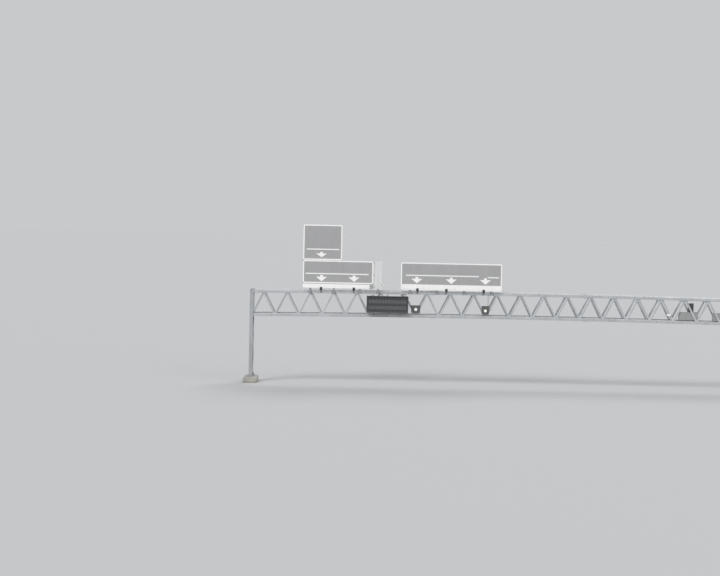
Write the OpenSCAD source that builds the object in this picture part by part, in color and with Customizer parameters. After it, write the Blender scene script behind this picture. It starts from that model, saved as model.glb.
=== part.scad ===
// Overhead sign gantry: a lattice boom on two braced legs, with road signs.
// Built at one half of the real size. Every value is in millimetres of this half-size model.
// Z is up, X runs along the boom, and the signs face -Y.
// The origin is on the ground at the middle of the left leg.
// The signs are set out from an upper node of the lattice, and the cabinets from its bay lines.

/* [Boom] */
// Distance between the middles of the two legs
span = 26600; // [22000:100:30000]
// Number of lattice bays between the legs
bays = 22; // [22:1:26]
// Height between the middles of the lower and upper chords
boom_depth = 1200; // [900:10:1500]
// Distance between the middles of the front and rear sides
boom_width = 1000; // [800:10:1400]
// Height of the middle of the lower chord at the legs
boom_height = 3500; // [2800:10:4500]
// Rise of the boom at mid span
camber = 100; // [0:5:200]
// Side of the square chord tube
chord = 150; // [100:5:200]
// Side of the square slanting bars
lace = 90; // [60:5:120]
// Thickness of the plates that join the boom to the legs
end_plate_thick = 20; // [10:1:40]
// Side of the square end plates
end_plate_side = 230; // [180:5:300]

/* [Plan bracing] */
// Depth of the upper cross bars and slanting bars
top_brace_deep = 55; // [40:5:70]
// Width of the upper cross bars
top_cross_wide = 60; // [40:5:100]
// Width of the upper slanting bars
top_slant_wide = 50; // [40:5:80]
// Depth of the lower cross bars
floor_cross_deep = 80; // [60:5:85]
// Width of the lower cross bars
floor_cross_wide = 70; // [50:5:100]
// Depth of the lower slanting bars
floor_slant_deep = 50; // [30:5:60]
// Width of the lower slanting bars
floor_slant_wide = 50; // [40:5:80]
// Distance from the upper chord's middle down to the tops of its plan bracing
top_brace_drop = 5; // [0:1:15]
// Height of the lower slanting bars above the undersides of the lower cross bars
floor_slant_lift = 5; // [0:1:15]

/* [Walkway] */
// Width of the walkway deck
deck_wide = 660; // [500:10:700]
// Thickness of the walkway deck
deck_thick = 30; // [20:1:40]
// Height of the deck's underside above the middle of the lower chord
deck_rise = 15; // [5:1:30]
// Gap between deck panels
deck_gap = 6; // [2:1:12]
// Thickness of the kick strips
kick_thick = 5; // [3:1:10]
// Height of the kick strips
kick_high = 85; // [50:5:120]

/* [Boom joints] */
// Number of bays from each leg to the bay that holds the nearer boom joint
joint_bays = 7; // [3:1:9]
// Distance from that bay's upper node to the boom joint
joint_shift = 275; // [230:5:340]
// Length of the cover plates
cover_long = 260; // [160:10:300]
// Thickness of the cover plates
cover_thick = 10; // [6:1:16]
// Width of the cover plates
cover_wide = 120; // [80:5:140]

/* [Legs] */
// Side of the square columns
column = 175; // [140:5:220]
// Side of the square rails and braces
leg_bar = 90; // [60:5:120]
// Panels of bracing below the boom
leg_panels = 3; // [2:1:5]
// Height of the lowest rail's middle above the plinth
low_rail = 170; // [120:10:400]
// Thickness of the knee plates at the boom's corners
knee_thick = 12; // [8:1:20]
// Length of the knee plates' straight sides
knee_side = 200; // [100:10:300]
// Height of the column tops above the upper chord's middle
column_above = 105; // [80:5:200]
// Height of the knee plates' blunt ends
knee_lip = 20; // [10:5:40]
// Thickness of the cap plates
cap_thick = 10; // [6:1:20]
// Reach of the cap plates past the columns
cap_reach = 10; // [5:1:20]
// Side of the square base plates
base_side = 380; // [320:10:460]
// Thickness of the base plates
base_thick = 25; // [15:1:40]
// Diameter of the bolt holes in the base plates
anchor_hole = 22; // [16:1:30]
// Distance between neighbouring bolt holes
anchor_spacing = 300; // [260:10:380]
// Depth of the bolt sockets in the plinths
anchor_socket = 120; // [60:10:200]
// Height of the base stiffeners
stiffener_high = 120; // [60:5:200]
// Reach of the base stiffeners
stiffener_reach = 85; // [50:5:100]
// Thickness of the base stiffeners
stiffener_thick = 12; // [8:1:20]
// Height of the stiffeners' outer ends and width of their tops
stiffener_lip = 20; // [10:1:30]

/* [Plinths] */
// Length of a plinth along the boom
plinth_long = 700; // [550:10:1200]
// Length of a plinth across the boom
plinth_wide = 1800; // [1500:10:2400]
// Height of a plinth
plinth_high = 280; // [150:10:500]
// Size of the sloping edge around the plinth's top
plinth_edge = 30; // [10:5:60]

/* [Signs] */
// Thickness of the sign faces
sign_thick = 20; // [12:1:30]
// Height of the signs' lower edges above the upper chord's middle
sign_rise = 240; // [160:5:400]
// Corner radius of the signs
sign_corner = 40; // [10:5:100]
// Number of bays from the left leg to the bay whose upper node the signs are set out from
sign_bays = 7; // [6:1:9]
// Width of the lower left sign
lower_sign_wide = 3640; // [3000:5:4000]
// Height of the lower left sign
lower_sign_high = 1438; // [1200:2:1600]
// Distance from the lower left sign's left edge back to the upper sign's
upper_sign_back = 6; // [0:1:60]
// Width of the upper sign
upper_sign_wide = 2020; // [1600:5:2400]
// Height of the upper sign
upper_sign_high = 1822; // [1400:2:2200]
// Gap between the lower left sign and the upper sign
sign_gap = 8; // [2:1:30]
// Gap between the lower left sign and the pale panel
panel_gap = 72; // [20:1:120]
// Width of the pale panel
panel_wide = 374; // [300:2:600]
// Corner radius of the pale panel
panel_corner = 10; // [4:1:30]
// Gap between the pale panel and the middle sign
sign_space = 957; // [600:1:1300]
// Width of the middle sign
middle_sign_wide = 5222; // [4600:2:5800]
// Height of the middle sign
middle_sign_high = 1425; // [1200:5:1600]

/* [Sign supports] */
// Side of the square sign posts
post = 90; // [60:5:120]
// Depth of the rails behind the signs
rail_deep = 35; // [20:1:60]
// Height of the rails behind the signs
rail_high = 60; // [40:2:100]
// Distance from a sign's edge to its outer rails and to their ends
rail_inset = 110; // [70:5:200]
// Width of the raking struts
rake_wide = 60; // [40:5:90]
// Thickness of the raking struts, square to their length
rake_thick = 60; // [40:5:80]
// Distance from a pale panel's edge to the ends of its rails
panel_inset = 40; // [20:5:80]
// Distance from the tops of the posts to the tops of the signs
post_over = 40; // [20:5:80]
// Distance from the undersides of the posts to the underside of the upper chord
post_lift = 10; // [0:1:30]
// Distance from the upper sign's edges to its posts' middles
tall_post_inset = 400; // [250:10:600]
// Distance from the lower left sign's right edge to the post before it
short_post_inset = 683; // [500:1:900]
// Number of posts behind the middle sign
middle_posts = 4; // [3:1:6]
// Distance from the middle sign's edges to its outer posts' middles
middle_post_inset = 500; // [300:10:700]
// Distance from the upper node that the signs are set out from to the middle sign's second post
post_shift = 495; // [460:5:560]
// Height of the struts' feet above the upper chord's middle
rake_foot = 5; // [0:1:20]
// Height above the sign's lower edge where the struts meet the short posts
short_rake_rise = 1000; // [600:10:1200]
// Height above the sign's lower edge where the struts meet the tall posts
tall_rake_rise = 2000; // [1400:10:2600]
// Height above the sign's lower edge of the short ties of the tall posts
tie_rise = 860; // [500:10:1200]

/* [Sign lamps] */
// Distance from the upper sign's left post to the first left lamp
left_lamp_on = 575; // [120:5:1000]
// Distance from the second left lamp to the post after it
left_lamp_back = 312; // [120:1:700]
// Distances of the middle lamps from the posts before them
middle_lamps = [361, 437, 944];
// Reach of the lamp arms from the front chord
arm_reach = 560; // [300:10:800]
// Side of the square lamp arms
arm_side = 40; // [25:1:60]
// Height of the left lamp arms' middles above the upper chord's middle at the legs
left_arm_rise = 45; // [20:5:100]
// Height of the middle lamp arms' middles above the upper chord's middle at the legs
middle_arm_rise = 75; // [40:5:120]
// Thickness of the lamp arms' foot plates
arm_foot = 10; // [6:1:16]
// Width of a lamp head
head_wide = 130; // [90:5:200]
// Depth of a lamp head
head_deep = 150; // [100:5:240]
// Height of a lamp head
head_high = 160; // [100:5:260]
// Height of a lamp head's front lip
head_lip = 60; // [30:5:100]
// Height of a lamp head's back
head_back = 120; // [80:5:200]
// Height of the lamp stirrup under the head
stirrup_high = 90; // [20:5:120]
// Width of the lamp stirrup
stirrup_wide = 65; // [40:5:90]
// Width of the rim around a lamp glass
glass_rim = 11; // [6:1:20]
// Thickness of the lamp glass
glass_thick = 6; // [3:1:12]

/* [Message sign] */
// Gap between the message sign and the left signal box
box_gap = 165; // [60:5:300]
// Width of the message sign
message_wide = 2142; // [1700:2:2600]
// Height of the message sign
message_high = 860; // [600:5:900]
// Depth of the message sign
message_deep = 240; // [120:5:300]
// Height of the message sign's lower edge above the lower chord's middle
message_rise = 240; // [200:5:300]
// Gap between the sign posts and the message sign's back
message_gap = 10; // [5:1:40]
// Width of the frame around the screen
bezel = 55; // [30:1:90]
// Depth of the screen below the frame
screen_sunk = 22; // [10:1:40]
// Thickness of the screen
screen_thick = 10; // [6:1:20]
// Reach of the hood over the screen
hood_reach = 70; // [30:5:120]
// Thickness of the hood
hood_thick = 8; // [5:1:12]
// Width of the hangers
hanger_wide = 60; // [40:5:100]
// Number of hangers
hangers = 3; // [2:1:5]
// Gap between the hangers' tops and the undersides of the posts
hanger_gap = 20; // [5:1:40]

/* [Signal boxes] */
// Distance from the middle sign's first post to the middle of the left signal box
left_box_on = 313; // [230:1:400]
// Width of the left signal box
left_box_wide = 460; // [400:5:560]
// Height of the left signal box
left_box_high = 390; // [300:5:460]
// Distance from the middle of the right signal box to the middle sign's last post
right_box_back = 327; // [280:1:420]
// Width of the right signal box
right_box_wide = 360; // [320:5:460]
// Height of the right signal box
right_box_high = 430; // [300:5:500]
// Depth of the signal boxes
box_deep = 120; // [80:5:200]
// Height of the signal boxes' lower edges above the lower chord's middle
box_rise = 260; // [230:5:330]
// Diameter of the round lenses
lens = 160; // [80:5:200]
// Thickness of the round lenses
lens_thick = 12; // [6:1:20]
// Height of the lens middles above the boxes' lower edges
lens_rise = 190; // [100:5:260]
// Length of the visor over each lens
visor_long = 70; // [30:5:120]
// Thickness of the visors
visor_thick = 6; // [4:1:10]
// Gap between a lens and its visor
lens_gap = 2; // [1:1:6]
// Diameter of the conduit
conduit = 30; // [20:1:50]
// Distance from the conduit's middle to the box's right side
conduit_inset = 45; // [35:5:80]
// Height of the conduit's upper clip
clip_high = 30; // [20:5:60]
// Height of the conduit's lower collar
collar_high = 20; // [10:5:40]
// Reach of the clip and the collar past the conduit
clip_reach = 15; // [8:1:25]

/* [Cabinets and small lamps] */
// Number of bays from the left leg to the left cabinet's bay line
left_cabinet_bays = 19; // [16:1:20]
// Distance from that bay line back to the left cabinet's left edge
left_cabinet_back = 900; // [600:10:1000]
// Distance from the next bay line back to the right cabinet's left edge
right_cabinet_back = 360; // [100:10:500]
// Width of the pale cabinets
cabinet_wide = 980; // [800:10:1100]
// Height of the pale cabinets
cabinet_high = 405; // [300:5:500]
// Depth of the pale cabinets
cabinet_deep = 260; // [150:5:320]
// Gap between the kick strips and the pale cabinets above them
cabinet_gap = 20; // [5:1:40]
// Distance from the left cabinet's left edge to the dark unit's
unit_inset = 470; // [50:10:600]
// Distance from the slanting bars' backs to the dark unit's front
unit_back = 20; // [0:5:60]
// Width of the dark unit
unit_wide = 270; // [150:5:400]
// Height of the dark unit
unit_high = 460; // [200:5:500]
// Depth of the dark unit
unit_deep = 180; // [100:5:220]
// Number of bays from the left leg to the lamp bar's bay line
bar_bays = 18; // [14:1:18]
// Distance from that bay line back to the middle of the lamp bar
bar_back = 250; // [180:5:320]
// Length of the lamp bar
bar_long = 300; // [260:10:520]
// Height of the lamp bar
bar_high = 80; // [50:5:120]
// Depth of the lamp bar
bar_deep = 60; // [40:5:100]
// Height of the lamp bar's lower edge above the lower chord's middle
bar_rise = 380; // [260:5:450]
// Reach of the small round lamp past the pale panel
spot_reach = 125; // [70:5:150]
// Height of the small round lamp's middle above the signs' lower edges
spot_rise = 220; // [200:5:400]
// Diameter of the small round lamp
spot_size = 110; // [80:5:160]
// Length of the small round lamp
spot_long = 70; // [40:5:120]
// Distance that the small round lamp reaches past its rail's end
spot_over = 20; // [0:5:40]
// Width of the small round lamp's rim
spot_rim = 10; // [5:1:20]

/* [Hidden] */
$fn = 48;
bay = span / bays;
front = -boom_width / 2;
rear = boom_width / 2;
chord_face = front - chord / 2;
lace_front = front - lace / 2;
lace_back = front + lace / 2;
inner = boom_width - chord;
leg_face = column / 2;
top_mid = boom_height + boom_depth;
column_foot = plinth_high + base_thick;
column_top = top_mid + column_above;
rail_foot = plinth_high + low_rail;
panel_step = (boom_height - rail_foot) / leg_panels;
knee_low = boom_height + chord / 2;
post_front = chord_face - post;
rail_front = post_front - rail_deep;
sign_front = rail_front - sign_thick;
sign_bottom = top_mid + sign_rise;
sign_node = (sign_bays + 0.5) * bay;
middle_post_step = (middle_sign_wide - 2 * middle_post_inset) / (middle_posts - 1);
middle_post_places = [for (i = [0:middle_posts - 1]) sign_node + post_shift + (i - 1) * middle_post_step];
middle_sign_at = middle_post_places[0] - middle_post_inset;
middle_sign_end = middle_sign_at + middle_sign_wide;
panel_end = middle_sign_at - sign_space;
panel_at = panel_end - panel_wide;
lower_sign_end = panel_at - panel_gap;
lower_sign_at = lower_sign_end - lower_sign_wide;
upper_sign_at = lower_sign_at - upper_sign_back;
upper_sign_end = upper_sign_at + upper_sign_wide;
upper_bottom = sign_bottom + lower_sign_high + sign_gap;
upper_top = upper_bottom + upper_sign_high;
post_under = chord / 2 - post_lift;
tall_post_places = [upper_sign_at + tall_post_inset, upper_sign_end - tall_post_inset];
short_post_places = [lower_sign_end - short_post_inset, panel_at + panel_wide / 2];
left_lamp_places = [tall_post_places[0] + left_lamp_on, short_post_places[0] - left_lamp_back];
middle_lamp_places = [for (i = [0:len(middle_lamps) - 1]) middle_post_places[i] + middle_lamps[i]];
case_back = post_front - message_gap;
case_front = case_back - message_deep;
case_bottom = boom_height + message_rise;
screen_back = case_front + screen_sunk + screen_thick;
left_box_at = middle_post_places[0] + left_box_on;
right_box_at = middle_post_places[middle_posts - 1] - right_box_back;
message_at = left_box_at - left_box_wide / 2 - box_gap - message_wide;
box_front = lace_front - box_deep;
box_bottom = boom_height + box_rise;
conduit_at = right_box_at + right_box_wide / 2 - conduit_inset;
head_y = chord_face - arm_reach;
glass_low = [head_y + head_deep / 2, head_lip];
glass_high = [head_y - head_deep / 10, head_high];
cabinet_places = [left_cabinet_bays * bay - left_cabinet_back, (left_cabinet_bays + 1) * bay - right_cabinet_back];
bar_at = bar_bays * bay - bar_back;
spot_at = panel_end + spot_reach - spot_size / 2 + spot_over;
spot_height = sign_bottom + spot_rise;
joint_at = (joint_bays + 0.5) * bay + joint_shift;

// Rise of the cambered boom
function arch(x) = camber * (1 - pow(2 * x / span - 1, 2));
// Number of the bay that holds a place
function bay_at(x) = floor(x / bay);
// Rise of the straight lengths between the bay lines
function rise(x) =
    let (k = bay_at(x), f = x / bay - k)
    (1 - f) * arch(k * bay) + f * arch((k + 1) * bay);
// Bay line by its number
function line_at(k) = k * bay;

// Shape drawn in X and Z, made solid from y0 to y1
module across(y0, y1) {
    translate([0, y1, 0]) rotate([90, 0, 0]) linear_extrude(y1 - y0) children();
}

// Shape drawn in Y and Z, made solid from x0 to x1
module lengthwise(x0, x1) {
    translate([x0, 0, 0]) rotate([90, 0, 90]) linear_extrude(x1 - x0) children();
}

// Long bar that follows the camber, with its edges at heights lo and hi from the base height
module cambered(x0, x1, base, lo, hi, y0, y1) {
    xs = concat([x0], [for (k = [0:bays]) if (line_at(k) > x0 + 1 && line_at(k) < x1 - 1) line_at(k)], [x1]);
    low = [for (x = xs) [x, base + rise(x) + lo]];
    high = [for (i = [len(xs) - 1:-1:0]) [xs[i], base + rise(xs[i]) + hi]];
    across(y0, y1) polygon(concat(low, high));
}

// Flat bar between two points, drawn in a plane
module strip(p, q, wide) {
    d = q - p;
    n = [-d[1], d[0]] / norm(d) * wide / 2;
    polygon([p + n, q + n, q - n, p - n]);
}

// Plate with rounded corners, from a lower left corner
module rounded(w, h, r) {
    translate([r, 0]) square([w - 2 * r, h]);
    translate([0, r]) square([w, h - 2 * r]);
    for (x = [r, w - r], z = [r, h - r]) translate([x, z]) circle(r);
}

// Plinth under one leg
module plinth(x) {
    translate([x, 0, 0]) difference() {
        union() {
            translate([-plinth_long / 2, -plinth_wide / 2, 0])
                cube([plinth_long, plinth_wide, plinth_high - plinth_edge]);
            intersection() {
                lengthwise(-plinth_long / 2, plinth_long / 2) polygon([
                    [-plinth_wide / 2, plinth_high - plinth_edge - 1],
                    [plinth_wide / 2, plinth_high - plinth_edge - 1],
                    [plinth_wide / 2, plinth_high - plinth_edge],
                    [plinth_wide / 2 - plinth_edge, plinth_high],
                    [-plinth_wide / 2 + plinth_edge, plinth_high],
                    [-plinth_wide / 2, plinth_high - plinth_edge]
                ]);
                across(-plinth_wide / 2, plinth_wide / 2) polygon([
                    [-plinth_long / 2, plinth_high - plinth_edge - 1],
                    [plinth_long / 2, plinth_high - plinth_edge - 1],
                    [plinth_long / 2, plinth_high - plinth_edge],
                    [plinth_long / 2 - plinth_edge, plinth_high],
                    [-plinth_long / 2 + plinth_edge, plinth_high],
                    [-plinth_long / 2, plinth_high - plinth_edge]
                ]);
            }
        }
        for (y = [front, rear]) translate([0, y, plinth_high - anchor_socket]) anchor_pattern();
    }
}

// Four bolt holes of one base plate, going up from the origin
module anchor_pattern() {
    for (x = [-1, 1], y = [-1, 1])
        translate([x * anchor_spacing / 2, y * anchor_spacing / 2, 0])
            cylinder(h = anchor_socket + 2 * base_thick, d = anchor_hole);
}

// Base plate with its stiffeners round one column
module column_base() {
    difference() {
        translate([-base_side / 2, -base_side / 2, plinth_high]) cube([base_side, base_side, base_thick]);
        translate([0, 0, plinth_high - anchor_socket]) anchor_pattern();
    }
    for (a = [0:90:270]) rotate([0, 0, a]) across(-stiffener_thick / 2, stiffener_thick / 2) polygon([
        [column / 2 - 1, column_foot - 1],
        [column / 2 + stiffener_reach, column_foot - 1],
        [column / 2 + stiffener_reach, column_foot + stiffener_lip],
        [column / 2 + stiffener_lip, column_foot + stiffener_high],
        [column / 2 - 1, column_foot + stiffener_high]
    ]);
}

// Triangular plates in the corners where the boom passes through the leg
module knees(x) {
    for (m = [-1, 1], z = [knee_low, top_mid - leg_bar / 2]) {
        s = z == knee_low ? 1 : -1;
        lengthwise(x - knee_thick / 2, x + knee_thick / 2) polygon([
            [m * (rear - column / 2 + 1), z - s],
            [m * (rear - column / 2 - knee_side), z - s],
            [m * (rear - column / 2 - knee_side), z + s * knee_lip],
            [m * (rear - column / 2 - knee_lip), z + s * knee_side],
            [m * (rear - column / 2 + 1), z + s * knee_side]
        ]);
    }
}

// Braced leg with two columns
module leg(x) {
    for (y = [front, rear]) translate([x, y, 0]) {
        column_base();
        translate([-column / 2, -column / 2, column_foot - 1])
            cube([column, column, column_top - column_foot + 1]);
        translate([-column / 2 - cap_reach, -column / 2 - cap_reach, column_top])
            cube([column + 2 * cap_reach, column + 2 * cap_reach, cap_thick]);
    }
    lengthwise(x - leg_bar / 2, x + leg_bar / 2) intersection() {
        translate([front, 0]) square([boom_width, top_mid + chord]);
        union() {
            for (i = [0:leg_panels - 1]) {
                z = rail_foot + i * panel_step;
                s = i % 2 == 0 ? 1 : -1;
                strip([front, z], [rear, z], leg_bar);
                strip([s * front, z], [s * rear, z + panel_step], leg_bar);
            }
            strip([front, top_mid], [rear, top_mid], leg_bar);
        }
    }
    translate([x - chord / 2, front, boom_height - chord / 2]) cube([chord, boom_width, chord]);
    knees(x);
}

// One flat side of the boom: two cambered chords and the slanting bars between them
module truss(y) {
    difference() {
        union() {
            for (base = [boom_height, top_mid])
                cambered(0, span, base, -chord / 2, chord / 2, y - chord / 2, y + chord / 2);
            across(y - lace / 2, y + lace / 2) for (k = [0:bays - 1]) {
                peak = [line_at(k + 0.5), top_mid + rise(line_at(k + 0.5))];
                strip([line_at(k), boom_height + rise(line_at(k))], peak, lace);
                strip([line_at(k + 1), boom_height + rise(line_at(k + 1))], peak, lace);
            }
            for (x = [leg_face, span - leg_face - end_plate_thick], z = [boom_height, top_mid])
                translate([x, y - end_plate_side / 2, z - end_plate_side / 2])
                    cube([end_plate_thick, end_plate_side, end_plate_side]);
        }
        for (x = [leg_face - 2 * column, span - leg_face]) translate([x, y - chord, boom_height - bay])
            cube([2 * column, 2 * chord, boom_depth + 2 * bay]);
    }
}

// Slanting bar in plan between the inner faces of the two sides
module plan_slant(x0, x1, wide, z, deep) {
    w = wide / 2 * norm([x1 - x0, inner]) / inner;
    translate([0, 0, z]) linear_extrude(deep)
        polygon([[x0 - w, -inner / 2], [x0 + w, -inner / 2], [x1 + w, inner / 2], [x1 - w, inner / 2]]);
}

// Cross bars and slanting bars between the upper chords
module bracing_top() {
    for (k = [0:bays - 1]) {
        x = line_at(k + 0.5);
        translate([x - top_cross_wide / 2, -inner / 2, top_mid + rise(x) - top_brace_deep - top_brace_drop])
            cube([top_cross_wide, inner, top_brace_deep]);
    }
    for (k = [0:bays - 2]) {
        a = line_at(k + 0.5);
        b = line_at(k + 1.5);
        s = k % 2 == 0;
        z = top_mid + (rise(a) + rise(b)) / 2 - top_brace_deep - top_brace_drop;
        plan_slant(s ? a : b, s ? b : a, top_slant_wide, z, top_brace_deep);
    }
}

// Cross bars and slanting bars between the lower chords, which carry the walkway
module bracing_floor() {
    for (k = [1:bays - 1]) {
        x = line_at(k);
        cambered(x - floor_cross_wide / 2, x + floor_cross_wide / 2, boom_height,
            deck_rise - floor_cross_deep, deck_rise, -inner / 2, inner / 2);
    }
    for (k = [1:bays - 2]) {
        a = line_at(k);
        b = line_at(k + 1);
        s = k % 2 == 0;
        z = boom_height + min(rise(a), rise(b)) + deck_rise - floor_cross_deep + floor_slant_lift;
        plan_slant(s ? a : b, s ? b : a, floor_slant_wide, z, floor_slant_deep);
    }
}

// Walkway panels, one to a bay
module walkway_deck() {
    for (k = [1:bays - 2])
        cambered(line_at(k) + deck_gap / 2, line_at(k + 1) - deck_gap / 2, boom_height,
            deck_rise, deck_rise + deck_thick, -deck_wide / 2, deck_wide / 2);
    for (e = [[chord / 2, bay - deck_gap / 2], [span - bay + deck_gap / 2, span - chord / 2]])
        cambered(e[0], e[1], boom_height, deck_rise, deck_rise + deck_thick, -deck_wide / 2, deck_wide / 2);
}

// Kick strips along both edges of the walkway
module kick_strips() {
    for (y = [-deck_wide / 2 - kick_thick, deck_wide / 2])
        cambered(chord / 2, span - chord / 2, boom_height,
            deck_rise, deck_rise + kick_high, y, y + kick_thick);
}

// Cover plates on the four faces of each chord at the boom's joints
module joint_covers() {
    for (x = [joint_at, span - joint_at], base = [boom_height, top_mid], y = [front, rear]) {
        x0 = x - cover_long / 2;
        x1 = x + cover_long / 2;
        for (s = [-1, 1]) {
            yc = y + s * (chord + cover_thick) / 2;
            cambered(x0, x1, base, -cover_wide / 2, cover_wide / 2,
                yc - cover_thick / 2, yc + cover_thick / 2);
        }
        cambered(x0, x1, base, chord / 2, chord / 2 + cover_thick, y - cover_wide / 2, y + cover_wide / 2);
        cambered(x0, x1, base, -chord / 2 - cover_thick, -chord / 2, y - cover_wide / 2, y + cover_wide / 2);
    }
}

// Sign post on the front face of the upper chord
module sign_post(d, top) {
    foot = top_mid + rise(d) - post_under;
    translate([d - post / 2, post_front, foot]) cube([post, post, top - foot]);
}

// Posts of the left signs
module posts_left() {
    for (d = tall_post_places) sign_post(d, upper_top - post_over);
    for (d = short_post_places) sign_post(d, sign_bottom + lower_sign_high - post_over);
}

// Posts of the middle sign
module posts_middle() {
    for (d = middle_post_places) sign_post(d, sign_bottom + middle_sign_high - post_over);
}

// Raking strut from the rear upper chord to the back of a post, with a tie when one is asked for
module rake(d, up, tie) {
    x = d;
    foot = top_mid + rise(x) + rake_foot;
    head = sign_bottom + up;
    run = inner;
    cut = rake_thick * norm([run, head - foot]) / run;
    lengthwise(x - rake_wide / 2, x + rake_wide / 2) {
        polygon([
            [rear - chord / 2, foot], [rear - chord / 2, foot + cut],
            [chord_face, head + cut + (head - foot) * chord / run],
            [chord_face, head + (head - foot) * chord / run]
        ]);
        if (tie > 0) {
            t = sign_bottom + tie;
            reach = (t - foot) / (head - foot) * run;
            polygon([
                [chord_face, t], [rear - chord / 2 - reach - rake_thick / 3, t],
                [rear - chord / 2 - reach - rake_thick / 3, t + rake_thick], [chord_face, t + rake_thick]
            ]);
        }
    }
}

// Struts of the left signs
module struts_left() {
    for (d = tall_post_places) rake(d, tall_rake_rise, tie_rise);
    for (d = short_post_places) rake(d, short_rake_rise, 0);
}

// Struts of the middle sign
module struts_middle() {
    for (d = middle_post_places) rake(d, short_rake_rise, 0);
}

// Level rail behind the signs, given by its middle height
module sign_rail(d0, d1, z) {
    translate([d0, rail_front, z - rail_high / 2]) cube([d1 - d0, rail_deep, rail_high]);
}

// Rails of the left signs
module rails_left() {
    for (i = [0:2]) {
        z = sign_bottom + rail_inset + i * (lower_sign_high - 2 * rail_inset) / 2;
        sign_rail(lower_sign_at + rail_inset, panel_end - panel_inset, z);
    }
    for (i = [0:3]) {
        z = upper_bottom + rail_inset + i * (upper_sign_high - 2 * rail_inset) / 3;
        sign_rail(upper_sign_at + rail_inset, upper_sign_end - rail_inset, z);
    }
    sign_rail(panel_at + panel_inset, panel_end + spot_reach, spot_height);
}

// Rails of the middle sign
module rails_middle() {
    for (i = [0:2]) {
        z = sign_bottom + rail_inset + i * (middle_sign_high - 2 * rail_inset) / 2;
        sign_rail(middle_sign_at + rail_inset, middle_sign_end - rail_inset, z);
    }
}

// Sign face
module sign_face(d, z, w, h, r) {
    translate([d, 0, z]) across(sign_front, rail_front) rounded(w, h, r);
}

module sign_upper() { sign_face(upper_sign_at, upper_bottom, upper_sign_wide, upper_sign_high, sign_corner); }

module sign_lower() { sign_face(lower_sign_at, sign_bottom, lower_sign_wide, lower_sign_high, sign_corner); }

module side_panel() { sign_face(panel_at, sign_bottom, panel_wide, lower_sign_high, panel_corner); }

module sign_middle() { sign_face(middle_sign_at, sign_bottom, middle_sign_wide, middle_sign_high, sign_corner); }

// Place something at each lamp, at the height of its arm's middle
module at_lamps() {
    for (d = left_lamp_places) translate([d, 0, top_mid + left_arm_rise]) children();
    for (d = middle_lamp_places) translate([d, 0, top_mid + middle_arm_rise]) children();
}

// Lamp arms, with a stirrup on each tip
module lamp_arms() {
    at_lamps() {
        translate([-arm_side / 2, head_y - arm_side, -arm_side / 2])
            cube([arm_side, arm_reach + arm_side, arm_side]);
        translate([-arm_side, chord_face - arm_foot, -arm_side / 2])
            cube([2 * arm_side, arm_foot, arm_side]);
        translate([-stirrup_wide / 2, head_y - arm_side, arm_side / 2 - 1])
            cube([stirrup_wide, 2 * arm_side, stirrup_high + 1]);
    }
}

// Lamp heads, open wedge boxes that look up at the signs
module lamp_heads() {
    at_lamps() translate([0, 0, arm_side / 2 + stirrup_high])
        lengthwise(-head_wide / 2, head_wide / 2) polygon([
            [head_y - head_deep / 2, 0], [head_y + head_deep / 2, 0], glass_low, glass_high,
            [head_y - head_deep / 2, head_back]
        ]);
}

// Glass on the sloping face of each lamp head
module lamp_glasses() {
    d = glass_high - glass_low;
    n = [d[1], -d[0]] / norm(d) * glass_thick;
    u = d / norm(d) * glass_rim;
    at_lamps() translate([0, 0, arm_side / 2 + stirrup_high])
        lengthwise(-head_wide / 2 + glass_rim, head_wide / 2 - glass_rim) polygon([
            glass_low + u, glass_low + u + n, glass_high - u + n, glass_high - u
        ]);
}

// Message sign's case, with the screen's recess and a hood along the top
module message_case() {
    translate([message_at, 0, case_bottom]) {
        difference() {
            translate([0, case_front, 0]) cube([message_wide, message_deep, message_high]);
            translate([bezel, case_front - 1, bezel])
                cube([message_wide - 2 * bezel, screen_sunk + screen_thick + 1, message_high - 2 * bezel]);
        }
        translate([0, case_front - hood_reach, message_high - hood_thick])
            cube([message_wide, hood_reach + 1, hood_thick]);
        for (x = [0, message_wide - hood_thick])
            lengthwise(x, x + hood_thick) polygon([
                [case_front + 1, message_high * 0.3], [case_front - hood_reach, message_high],
                [case_front + 1, message_high]
            ]);
    }
}

// Message sign's screen, set in the recess
module message_screen() {
    translate([message_at + bezel, screen_back - screen_thick, case_bottom + bezel])
        cube([message_wide - 2 * bezel, screen_thick, message_high - 2 * bezel]);
}

// Hangers between the chords and the back of the message sign
module message_hangers() {
    for (i = [0:hangers - 1]) {
        d = message_at + message_wide * (i + 0.5) / hangers;
        z0 = boom_height + rise(d) - post_under;
        z1 = top_mid + rise(d) - post_under - hanger_gap;
        translate([d - hanger_wide / 2, case_back, z0]) cube([hanger_wide, chord_face - case_back, z1 - z0]);
    }
}

// Signal box on the slanting bars
module signal_box(d, w, h) {
    translate([d, 0, box_bottom]) {
        translate([-w / 2, box_front, 0]) cube([w, box_deep, h]);
        translate([0, box_front + 1, lens_rise]) rotate([90, 0, 0]) difference() {
            cylinder(h = visor_long + 1, d = lens + 2 * visor_thick);
            translate([0, 0, 1]) cylinder(h = visor_long + 1, d = lens);
            translate([-lens, -2 * lens, 1]) cube([2 * lens, 1.75 * lens, visor_long + 1]);
        }
    }
}

// Both signal boxes
module signal_boxes() {
    signal_box(left_box_at, left_box_wide, left_box_high);
    signal_box(right_box_at, right_box_wide, right_box_high);
}

// Round lenses of the signal boxes
module signal_lenses() {
    for (d = [left_box_at, right_box_at])
        translate([d, box_front, box_bottom + lens_rise]) rotate([90, 0, 0])
            cylinder(h = lens_thick, d = lens - 2 * lens_gap);
}

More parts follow.
